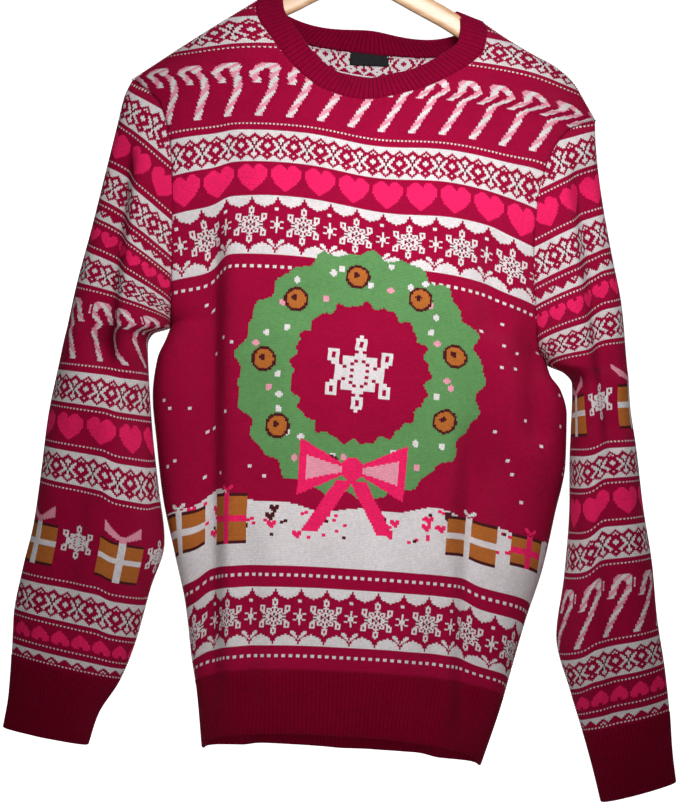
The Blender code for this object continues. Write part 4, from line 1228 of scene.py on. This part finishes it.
def rib_band(name, loops, edge_round, finish, rib_height):
    """A closed band of rib between loops of points; its free edge turns over in a round."""
    loops = np.array(loops)
    count = loops.shape[1]
    along = np.roll(loops, -1, axis=1) - np.roll(loops, 1, axis=1)
    down = np.gradient(loops, axis=0)
    normals = np.cross(along, down)
    normals /= np.linalg.norm(normals, axis=2)[..., None]
    centre = loops.mean(axis=1, keepdims=True)
    if np.sum(normals[..., :2] * (loops - centre)[..., :2]) < 0:
        normals = -normals
    away = down[-1] / np.linalg.norm(down[-1], axis=1)[:, None]
    ripple = rib_height * rib_profile(count)[:, None]
    step = np.linalg.norm(np.diff(loops, axis=0), axis=2).mean(axis=1)
    way = np.concatenate([[0.0], np.cumsum(step)])
    lines = [loop + normal * ripple for loop, normal in zip(loops, normals)]
    rows = list(way)
    half = HALF_RIB_THICKNESS
    middle = loops[-1] - normals[-1] * half
    for turn in range(1, edge_round):
        angle = math.pi * turn / edge_round
        reach = half + ripple
        lines.append(middle + normals[-1] * reach * math.cos(angle) + away * half * math.sin(angle))
        rows.append(way[-1] + half * angle)
    for index in range(len(loops) - 1, -1, -1):
        lines.append(loops[index] - normals[index] * (RIB_THICKNESS + ripple))
        rows.append(way[-1] + half * math.pi + way[-1] - way[index])
    faces, uv = [], []
    total = len(lines)
    for line in range(total):
        after = (line + 1) % total
        low = rows[line] / KNIT_ROW
        high = (rows[line + 1] if line + 1 < total else rows[-1] + RIB_THICKNESS) / KNIT_ROW
        here, there = line * count, after * count
        for column in range(count):
            beside = (column + 1) % count
            faces.append((here + column, here + beside, there + beside, there + column))
            left, right = column / RIB_SAMPLES, (column + 1) / RIB_SAMPLES
            uv += [(left, low), (right, low), (right, high), (left, high)]
    piece = mesh_piece(name, np.array(lines).reshape(-1, 3), faces)
    stitch_map(piece, uv)
    turn_outwards(piece.data)
    piece.data.materials.append(finish)
    return piece


def resampled(ring, shares):
    """Points of a closed ring at shares of the way along its own points."""
    closed = np.concatenate([ring, ring[:1]])
    marks = np.arange(len(closed))
    return np.stack([np.interp(shares * marks[-1], marks, closed[:, axis]) for axis in range(3)], axis=-1)


def even_shares(ring, pitch):
    """Shares of a closed ring at which points lie evenly, a whole number of ribs round."""
    closed = np.concatenate([ring, ring[:1]])
    way = np.concatenate([[0.0], np.cumsum(np.linalg.norm(np.diff(closed, axis=0), axis=1))])
    count = int(round(way[-1] / pitch)) * RIB_SAMPLES
    places = np.linspace(0.0, way[-1], count, endpoint=False)
    return np.interp(places, way, np.arange(len(way))) / (len(way) - 1)


def neck_edge(face, count):
    """The neck edge of a panel from left to right."""
    turns = np.linspace(-0.5 * math.pi, 0.5 * math.pi, count)
    places = [NECK_HALF_WIDTH * math.sin(turn) for turn in turns]
    return np.array([panel_points(face, top_row(face, x), np.array([x]))[0] for x in places])


NECK_RIB_LEAN_X = 1.75
NECK_RIB_LEAN_Y = 0.34
NECK_RIB_CENTRE_Y = 0.3
NECK_CORNER_REACH = 0.2
NECK_CORNER_SINK = 0.45
neck_ring = np.concatenate([neck_edge("front", 161), neck_edge("back", 161)[-2:0:-1]])
neck_ring = resampled(neck_ring, even_shares(neck_ring, NECK_RIB_PITCH))
# Towards the two corners the band lies flatter over the hanger's arms and shows its whole width
neck_corner = np.clip(np.abs(neck_ring[:, 0]) / NECK_HALF_WIDTH, 0.0, 1.0)
neck_lean = np.stack([
    -NECK_RIB_LEAN_X * neck_ring[:, 0] / NECK_HALF_WIDTH,
    -NECK_RIB_LEAN_Y * np.clip((neck_ring[:, 1] - NECK_RIB_CENTRE_Y) / 2.5, -1.0, 1.0),
    1.0 - NECK_CORNER_SINK * neck_corner**12,
], axis=1)
neck_lean /= np.linalg.norm(neck_lean, axis=1)[:, None]
neck_lean *= (1.0 + NECK_CORNER_REACH * neck_corner**3)[:, None]
# The collar is the body's cherry yarn, coloured darker than it: painted shade of the ribs
neck_finish = plain_rib("collar_rib", (0.225, 0.0008, 0.026), 0.24)
neck_steps = np.linspace(0.0, 1.0, 9)
neck_loops = [neck_ring + step * (NECK_RIB_WIDTH - HALF_RIB_THICKNESS) * neck_lean for step in neck_steps]
neck_band = rib_band("neck_band", neck_loops, 6, neck_finish, NECK_RIB_HEIGHT)
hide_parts("neck_rib")
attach(neck_band, "root")

# ---------------------------------------------------------------- hem rib and cuffs
# Deep bands of one by one rib draw in the hem and the wrists; they hang straight on below the cloth.
HEM_RIB_DROP = 6.6
RIB_PITCH = 0.4
RIB_HEIGHT = 0.045
# The row of a sleeve's table where its cuff begins
CUFF_TOP = 2


def hem_ring(row):
    """One loop round the body below its pattern, front from left to right and back again."""
    line = np.linspace(-1.0, 1.0, 301)
    rings = []
    for drape in drapes.values():
        levels = np.full(len(line), row)
        rings.append(drape.place(levels, line * drape.reach(levels, line))[:, :3])
    return np.concatenate([rings[0], rings[1][-2:0:-1]])


hem_shares = even_shares(hem_ring(0.0), RIB_PITCH)
# Hem and cuffs are the same cherry yarn, coloured darker still: painted shade of the ribs and of the lower,
# dimmer hem and cuffs
hem_finish = plain_rib("hem_rib_knit", (0.19, 0.0004, 0.016), 0.14)
hem_levels = [-step * (HEM_RIB_DROP - HALF_RIB_THICKNESS) for step in np.linspace(0.0, 1.0, 13)]
hem_loops = [resampled(hem_ring(level), hem_shares) for level in hem_levels]
hem_band = rib_band("hem_band", hem_loops, 5, hem_finish, RIB_HEIGHT)
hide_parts("hem_rib")
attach(hem_band, "root")


def cuff_ring(side, level):
    """One loop round a cuff: front from the outer edge to the inner one, and back again."""
    drape, way = sleeve_drapes[side], np.linspace(1e-4, 1.0, 141)
    levels = np.full(len(way), level)
    front, back = (drape.place(levels, half * drape.reach(levels, half)) for half in (-way, way))
    return np.concatenate([front, back[-2:0:-1]])


for side in ("left", "right"):
    top, foot = SLEEVES[side][CUFF_TOP].outer_z, SLEEVES[side][0].outer_z
    shares = even_shares(cuff_ring(side, top), RIB_PITCH)
    levels = np.linspace(top, foot + HALF_RIB_THICKNESS, 13)
    rings = [resampled(cuff_ring(side, level), shares) for level in levels]
    band = rib_band(side + "_cuff_band", rings, 5, hem_finish, RIB_HEIGHT)
    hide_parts(side + "_cuff")
    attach(band, "root")

# ---------------------------------------------------------------- linked seams
# The pieces are joined loop by loop in the same yarn: shoulders, armholes, sides, sleeves, ribs.
# Each seam is a chain of small slanting stitches along its line; the back neck has one in white.
def chain_tree():
    """Stitches in a chain along the edges of the piece: Pitch, Length, Width, Slant, Finish."""
    tree = bpy.data.node_groups.new("chain_of_stitches", "GeometryNodeTree")
    tree.is_modifier = True
    tree.interface.new_socket("Geometry", in_out="INPUT", socket_type="NodeSocketGeometry")
    entries = {}
    for name in ("Pitch", "Length", "Width", "Slant", "Finish"):
        kind = "NodeSocketMaterial" if name == "Finish" else "NodeSocketFloat"
        entries[name] = tree.interface.new_socket(name, in_out="INPUT", socket_type=kind).identifier
    tree.interface.new_socket("Geometry", in_out="OUTPUT", socket_type="NodeSocketGeometry")
    kinds = {
        "given": "NodeGroupInput",
        "line": "GeometryNodeMeshToCurve",
        "even": "GeometryNodeResampleCurve",
        "tangent": "GeometryNodeInputTangent",
        "turn": "FunctionNodeAlignRotationToVector",
        "slant": "FunctionNodeRotateRotation",
        "lean": "ShaderNodeCombineXYZ",
        "tilt": "FunctionNodeEulerToRotation",
        "bead": "GeometryNodeMeshUVSphere",
        "shape": "ShaderNodeCombineXYZ",
        "chain": "GeometryNodeInstanceOnPoints",
        "real": "GeometryNodeRealizeInstances",
        "smooth": "GeometryNodeSetShadeSmooth",
        "finish": "GeometryNodeSetMaterial",
        "result": "NodeGroupOutput",
    }
    nodes = {name: tree.nodes.new(kind) for name, kind in kinds.items()}
    nodes["even"].mode = "LENGTH"
    nodes["turn"].axis = "X"
    nodes["slant"].rotation_space = "LOCAL"
    for name, value in (("Segments", 6), ("Rings", 4), ("Radius", 0.5)):
        nodes["bead"].inputs[name].default_value = value
    for route in (
        "given.Geometry > line.Mesh", "line.Curve > even.Curve", "given.Pitch > even.Length",
        "even.Curve > chain.Points", "tangent.Tangent > turn.Vector", "given.Slant > lean.Y",
        "given.Slant > lean.Z", "lean.Vector > tilt.Euler", "turn.Rotation > slant.Rotation",
        "tilt.Rotation > slant.Rotate By", "slant.Rotation > chain.Rotation", "bead.Mesh > chain.Instance",
        "given.Length > shape.X", "given.Width > shape.Y", "given.Width > shape.Z",
        "shape.Vector > chain.Scale", "chain.Instances > real.Geometry", "real.Geometry > smooth.Geometry",
        "smooth.Geometry > finish.Geometry", "given.Finish > finish.Material",
        "finish.Geometry > result.Geometry",
    ):
        (source, output), (target, entry) = (end.split(".") for end in route.split(" > "))
        tree.links.new(nodes[source].outputs[output], nodes[target].inputs[entry])
    return tree, entries


def seam_yarn(name, colour):
    """Spun yarn with a fine twist and a soft nap."""
    finish = Finish(name)
    twist = finish.noise(1400.0, 2.0)
    deep = tuple(0.7 * part for part in colour)
    finish.put({
        "Base Color": finish.ramp(twist, [(0.3, deep), (0.7, colour)]),
        "Normal": finish.bump(twist, 0.0003, 0.6),
        "Roughness": 0.9,
        "Specular IOR Level": 0.04,
    })
    return finish.material


chain, chain_inputs = chain_tree()


def linked_seam(name, lines, finish, pitch=0.24, length=0.3, width=0.09, slant=0.35):
    """Chains of linking stitches along lines of points."""
    starts = np.cumsum([0] + [len(line) for line in lines])
    edges = [(mark, mark + 1) for low, high in zip(starts, starts[1:]) for mark in range(low, high - 1)]
    piece = mesh_piece(name, np.concatenate(lines), [], edges)
    piece.data.materials.append(finish)
    stitches = piece.modifiers.new("stitches", "NODES")
    stitches.node_group = chain
    for socket, value in (("Pitch", pitch), ("Length", length), ("Width", width)):
        stitches[chain_inputs[socket]] = value * CM
    stitches[chain_inputs["Slant"]] = slant
    stitches[chain_inputs["Finish"]] = finish
    baked(piece)
    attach(piece, "root")


def side_line(face, side, low, high):
    """The edge of a panel between two rows, on its outer surface."""
    return np.array([body_edge(face, side, row) for row in np.linspace(low, high, 120)])


cherry_yarn = seam_yarn("cherry_seam_yarn", (0.24, 0.001, 0.022))
body_lines = []
for side in ("left", "right"):
    body_lines.append(side_line("front", side, 0.0, UNDERARM_ROW))
    body_lines.append(side_line("front", side, UNDERARM_ROW, TIP_ROW))
    body_lines.append(side_line("back", side, UNDERARM_ROW, TIP_ROW))
    body_lines.append(side_line("front", side, TIP_ROW, NECK_ROW))
    armpit = body_edge("front", side, UNDERARM_ROW)[2]
    levels = np.linspace(SLEEVES[side][CUFF_TOP].outer_z, armpit, 120)
    inner = [smooth_row(SLEEVES[side], "outer_z", level) for level in levels]
    body_lines.append(np.array([(ring.inner_x, SIDE_Y, ring.inner_z) for ring in inner]))
linked_seam("body_seams", body_lines, cherry_yarn)
rib_rings = [neck_ring, hem_ring(0.0)]
rib_rings += [cuff_ring(side, SLEEVES[side][CUFF_TOP].outer_z) for side in ("left", "right")]
rib_lines = [np.concatenate([ring, ring[:1]]) for ring in rib_rings]
linked_seam("rib_seams", rib_lines, cherry_yarn, pitch=0.2, length=0.25, width=0.11)

# The linking yarn of the back neck shows as a thin pale line on the inside
pale_yarn = seam_yarn("pale_linking_yarn", (0.75, 0.55, 0.6))
back_neck = neck_edge("back", 121)[10:-10]
inside_line = back_neck + np.array([0.0, -CLOTH_THICKNESS - 0.05, -0.25])
linked_seam("back_neck_linking", [inside_line], pale_yarn, 0.2, 0.22, 0.07, slant=0.1)

# ---------------------------------------------------------------- label
# A small woven satin label, bare, folded in at its two ends and sewn on below the back neck.
LABEL_LOW, LABEL_HIGH = -15.25, -13.7
LABEL_LEFT, LABEL_RIGHT = -1.95, 1.75
LABEL_TURN = 0.06
LABEL_GAP = 0.05
LABEL_LIFT = 0.06
LABEL_BELLY = 0.05
LABEL_THICKNESS = 0.04


def label_cloth():
    """The label's face lies on the inside of the back; its edges are turned under."""
    columns, rows = 36, 16
    back = drapes["back"]
    points = []
    for up in np.arange(rows + 1) / rows:
        z = LABEL_LOW + (LABEL_HIGH - LABEL_LOW) * up
        level = np.interp([z], back.halves[:, 1, 0, 2], back.levels)
        for across in np.arange(columns + 1) / columns:
            x = LABEL_LEFT + (LABEL_RIGHT - LABEL_LEFT) * across
            turned = min(across, 1.0 - across, LABEL_TURN) / LABEL_TURN
            swell = 0.6 + 0.4 * math.sin(2.0 * math.pi * up + 0.6)
            belly = LABEL_BELLY * math.sin(math.pi * across) * swell
            y = back.place(level, np.array([x]))[0, 1]
            y = y - CLOTH_THICKNESS - LABEL_GAP - LABEL_LIFT * math.sqrt(turned) - belly
            points.append((x, y, z))
    corners = [row * (columns + 1) + column for row in range(rows) for column in range(columns)]
    return points, [(low, low + 1, low + columns + 2, low + columns + 1) for low in corners]


satin = Finish("black_satin")
weave = satin.add("ShaderNodeTexWave", wave_type="BANDS", bands_direction="Z")
weave.inputs["Scale"].default_value = 600.0
weave.inputs["Distortion"].default_value = 0.4
satin.link(satin.place(), weave.inputs["Vector"])
threads = [(0.3, (0.006, 0.006, 0.007)), (0.7, (0.016, 0.015, 0.017))]
satin.put({
    "Base Color": satin.ramp(satin.noise(900.0), threads),
    "Normal": satin.bump(weave.outputs["Fac"], 0.0001, 0.5),
    "Roughness": 0.75,
    "Specular IOR Level": 0.06,
})
label = mesh_piece("woven_label", *label_cloth())
label.data.materials.append(satin.material)
label_wall = label.modifiers.new("wall", "SOLIDIFY")
label_wall.thickness = LABEL_THICKNESS * CM
label_wall.offset = -1.0
baked(label)
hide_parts("neck_label")
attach(label, "root")

# ---------------------------------------------------------------- hanger
# A contoured hanger sawn from one beech board, its edges rounded and lacquered; the arms carry the
# shoulder seams from inside and meet in a low crown, where the hook is screwed in.
Arm = namedtuple("Arm", "x top")
HANGER_CROWN = rows_of(
    Arm,
    (-8.6, -9.6), (-6.0, -7.9), (-3.4, -6.9), (-1.0, -6.5), (1.4, -7.0), (4.2, -8.5), (8.2, -10.5),
    (10.2, -11.9),
)
HANGER_HALF_THICKNESS = 0.6
HANGER_DEPTH = 2.0
HANGER_TAPER = 0.35
HANGER_ARM = 20.0
HANGER_CLEARANCE = 0.3
HOOK_STEM_X = -1.0


def shoulder_line(side, shares):
    """Points just under a shoulder seam, from near its tip to the neck."""
    edges = [body_edge("front", side, TIP_ROW + (NECK_ROW - TIP_ROW) * share) for share in shares]
    return [(x, z - HANGER_CLEARANCE) for x, y, z in edges]


hanger_way = shoulder_line("left", np.linspace(0.12, 0.97, 18))
hanger_way += HANGER_CROWN
hanger_way = np.array(hanger_way + shoulder_line("right", np.linspace(0.97, 0.16, 18)))
hanger_run = np.concatenate([[0.0], np.cumsum(np.hypot(*np.diff(hanger_way, axis=0).T))])
even_run = np.linspace(0.0, hanger_run[-1], 121)
hanger_way = np.stack([np.interp(even_run, hanger_run, hanger_way[:, axis]) for axis in range(2)], axis=1)
hanger_way = running_mean(hanger_way, 4)
HANGER_CORNERS = 24
ROUNDED_STEPS = 5.0
EDGE_ROUND_UP = 0.55
EDGE_ROUND_OUT = 0.45
hanger_points = []
for step, (x, top) in enumerate(hanger_way):
    before, after = hanger_way[max(step - 1, 0)], hanger_way[min(step + 1, len(hanger_way) - 1)]
    slope = (after - before) / np.linalg.norm(after - before)
    across = np.array([-slope[1], slope[0]])
    to_end = min(step, len(hanger_way) - 1 - step)
    end_round = math.sqrt(1.0 - (1.0 - min(to_end / ROUNDED_STEPS, 1.0)) ** 2)
    depth = (HANGER_DEPTH - HANGER_TAPER * abs(x - HOOK_STEM_X) / HANGER_ARM) * (0.55 + 0.45 * end_round)
    half = HANGER_HALF_THICKNESS * (0.4 + 0.6 * end_round)
    middle = np.array([x, top]) - across * 0.5 * depth
    for corner in range(HANGER_CORNERS):
        angle = 2.0 * math.pi * corner / HANGER_CORNERS
        sine, cosine = math.sin(angle), math.cos(angle)
        up = 0.5 * depth * math.copysign(abs(sine) ** EDGE_ROUND_UP, sine)
        out = half * math.copysign(abs(cosine) ** EDGE_ROUND_OUT, cosine)
        place = middle + across * up
        hanger_points.append((place[0], out, place[1]))
last_ring = len(hanger_points) - HANGER_CORNERS
hanger_faces = []
for low in range(0, last_ring, HANGER_CORNERS):
    high = low + HANGER_CORNERS
    for corner in range(HANGER_CORNERS):
        beside = (corner + 1) % HANGER_CORNERS
        hanger_faces.append((low + corner, low + beside, high + beside, high + corner))
hanger_faces.append(tuple(range(HANGER_CORNERS)))
hanger_faces.append(tuple(range(last_ring, len(hanger_points)))[::-1])
hanger = mesh_piece("beech_hanger", hanger_points, hanger_faces)
turn_outwards(hanger.data)
hanger.data.set_sharp_from_angle(angle=math.radians(60))

wood = Finish("lacquered_beech")
along_grain = wood.add("ShaderNodeMapping")
along_grain.inputs["Scale"].default_value = (9.0, 120.0, 120.0)
along_grain.inputs["Rotation"].default_value = (0.0, 0.12, 0.0)
wood.link(wood.place(), along_grain.inputs["Vector"])
grain = wood.noise(2.2, 5.0, along_grain.outputs[0])
flecks = wood.add("ShaderNodeTexVoronoi")
flecks.inputs["Scale"].default_value = 9.0
wood.link(along_grain.outputs[0], flecks.inputs["Vector"])
tones = [(0.32, (0.44, 0.25, 0.13)), (0.5, (0.52, 0.31, 0.17)), (0.68, (0.58, 0.37, 0.22))]
beech = wood.ramp(grain, tones)
rays = wood.math("LESS_THAN", flecks.outputs["Distance"], 0.16)
beech = wood.mix(wood.math("MULTIPLY", rays, 0.35), beech, (0.42, 0.22, 0.1, 1.0))
wood.put({
    "Base Color": beech,
    "Normal": wood.bump(grain, 0.0002, 0.4),
    "Roughness": 0.42,
    "Coat Weight": 0.25,
    "Coat Roughness": 0.25,
})
hanger.data.materials.append(wood.material)
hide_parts("hanger_wood")
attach(hanger, "root")

# ---------------------------------------------------------------- hook
# One bend of plated steel wire whose straight stem is screwed into the crown of the hanger.
HOOK_RADIUS = 2.1
HOOK_WIRE_RADIUS = 0.2
HOOK_SINK = 0.4
stem_foot = max(arm.top for arm in HANGER_CROWN) - HOOK_SINK
crook_z = -HOOK_RADIUS + HOOK_WIRE_RADIUS
hook_way = [(HOOK_STEM_X, stem_foot), (HOOK_STEM_X, stem_foot + 1.5), (HOOK_STEM_X - 0.05, stem_foot + 2.4)]
for degrees in range(222, -46, -6):
    angle = math.radians(degrees)
    hook_way.append((HOOK_RADIUS * math.cos(angle), crook_z + HOOK_RADIUS * math.sin(angle)))
hook_curve = bpy.data.curves.new("wire_hook", "CURVE")
hook_curve.dimensions = "3D"
hook_curve.bevel_depth = HOOK_WIRE_RADIUS * CM
hook_curve.bevel_resolution = 5
hook_curve.use_fill_caps = True
wire = hook_curve.splines.new("NURBS")
wire.points.add(len(hook_way) - 1)
for point, (x, z) in zip(wire.points, hook_way):
    point.co = (x * CM, 0.0, z * CM, 1.0)
wire.order_u = 4
wire.use_endpoint_u = True
wire.resolution_u = 3
steel = Finish("plated_steel")
steel.put({
    "Metallic": 1.0,
    "Base Color": steel.ramp(steel.noise(60.0, 4.0), [(0.3, (0.5, 0.5, 0.52)), (0.7, (0.68, 0.68, 0.7))]),
    "Roughness": steel.ramp(steel.noise(300.0, 3.0), [(0.3, (0.16, 0.16, 0.16)), (0.7, (0.3, 0.3, 0.3))]),
})
hook_curve.materials.append(steel.material)
hook = bpy.data.objects.new("wire_hook", hook_curve)
bpy.context.collection.objects.link(hook)
hook_mesh = bpy.data.meshes.new_from_object(hook.evaluated_get(bpy.context.evaluated_depsgraph_get()))
bpy.data.objects.remove(hook)
hook = bpy.data.objects.new("wire_hook", hook_mesh)
bpy.context.collection.objects.link(hook)
hook_mesh.shade_smooth()
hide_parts("hanger_hook")
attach(hook, "root")

# ---------------------------------------------------------------- floor, light and camera
# A plain pale floor and backdrop, large soft lights before, above and behind the cloth, the camera.
FLOOR_Z = -200.0
FLOOR_REACH = 900.0
WALL_Y = 620.0
WALL_TOP = 560.0
SWEEP_RADIUS = 60.0
SWEEP_STEPS = 12
# The backdrop glows a little, from just above the floor, so that it is evenly pale
GLOW_ABOVE = 12.0
WALL_GLOW = 0.95
sweep = [(-FLOOR_REACH, FLOOR_Z)]
for step in range(SWEEP_STEPS + 1):
    angle = 0.5 * math.pi * step / SWEEP_STEPS
    y = WALL_Y - SWEEP_RADIUS * (1.0 - math.sin(angle))
    sweep.append((y, FLOOR_Z + SWEEP_RADIUS * (1.0 - math.cos(angle))))
sweep.append((WALL_Y, WALL_TOP))
floor_points = [(side * FLOOR_REACH, y, z) for side in (-1, 1) for y, z in sweep]
across = len(sweep)
floor_faces = [(step, step + across, step + across + 1, step + 1) for step in range(across - 1)]
floor = mesh_piece("studio_floor", floor_points, floor_faces)
floor.data.shade_smooth()
paper = Finish("pale_paper")
paper_height = paper.add("ShaderNodeSeparateXYZ")
paper.link(paper.place(), paper_height.inputs[0])
lit = paper.math("GREATER_THAN", paper_height.outputs[2], (FLOOR_Z + GLOW_ABOVE) * CM)
paper.put({
    "Base Color": paper.ramp(paper.noise(3.0), [(0.0, (0.84, 0.84, 0.84)), (1.0, (0.88, 0.88, 0.88))]),
    "Roughness": 0.9,
    "Emission Color": (1.0, 1.0, 1.0, 1.0),
    "Emission Strength": paper.math("MULTIPLY", lit, WALL_GLOW),
})
floor.data.materials.append(paper.material)

Light = namedtuple("Light", "name x y z aim_x aim_y aim_z width height spread power")
LIGHTS = rows_of(
    Light,
    ("key", 8.0, -62.0, -6.0, 2.0, 0.0, -32.0, 28.0, 24.0, 80.0, 1.7),
    ("back", 0.0, 200.0, 130.0, 0.0, 0.0, -50.0, 90.0, 90.0, 120.0, 16.0),
    ("fill", -4.0, -150.0, -64.0, 0.0, 0.0, -64.0, 16.0, 16.0, 30.0, 0.36),
)
for light in LIGHTS:
    lamp = bpy.data.lights.new(light.name, "AREA")
    lamp.shape = "RECTANGLE"
    lamp.size = light.width * CM
    lamp.size_y = light.height * CM
    lamp.spread = math.radians(light.spread)
    lamp.energy = light.power
    stand = bpy.data.objects.new(light.name, lamp)
    stand.location = (light.x * CM, light.y * CM, light.z * CM)
    aim = Vector((light.aim_x - light.x, light.aim_y - light.y, light.aim_z - light.z))
    stand.rotation_euler = aim.to_track_quat("-Z", "Y").to_euler()
    bpy.context.collection.objects.link(stand)

SKY_LIGHT = 0.17
SKY_SEEN = 0.94
world = bpy.data.worlds.new("studio")
bpy.context.scene.world = world
world.use_nodes = True
sky = world.node_tree.nodes["Background"]
sky.inputs["Color"].default_value = (1.0, 1.0, 1.0, 1.0)
seen = world.node_tree.nodes.new("ShaderNodeLightPath")
strength = world.node_tree.nodes.new("ShaderNodeMapRange")
world.node_tree.links.new(seen.outputs["Is Camera Ray"], strength.inputs["Value"])
strength.inputs["To Min"].default_value = SKY_LIGHT
strength.inputs["To Max"].default_value = SKY_SEEN
world.node_tree.links.new(strength.outputs["Result"], sky.inputs["Strength"])

CAMERA_PLACE = (-1.4, -240.0, -47.4)
FRAME_WIDTH = 63.8
CAMERA_ROLL = 2.6
SENSOR_WIDTH = 36.0
view = bpy.data.cameras.new("front_view")
view.sensor_fit = "HORIZONTAL"
view.sensor_width = SENSOR_WIDTH
view.lens = -SENSOR_WIDTH * CAMERA_PLACE[1] / FRAME_WIDTH
camera = bpy.data.objects.new("front_view", view)
camera.location = [value * CM for value in CAMERA_PLACE]
roll = Matrix.Rotation(-math.radians(CAMERA_ROLL), 4, "Y")
camera.rotation_euler = (roll @ Matrix.Rotation(math.radians(90), 4, "X")).to_euler()
bpy.context.collection.objects.link(camera)
bpy.context.scene.camera = camera
bpy.context.scene.view_settings.view_transform = "Standard"
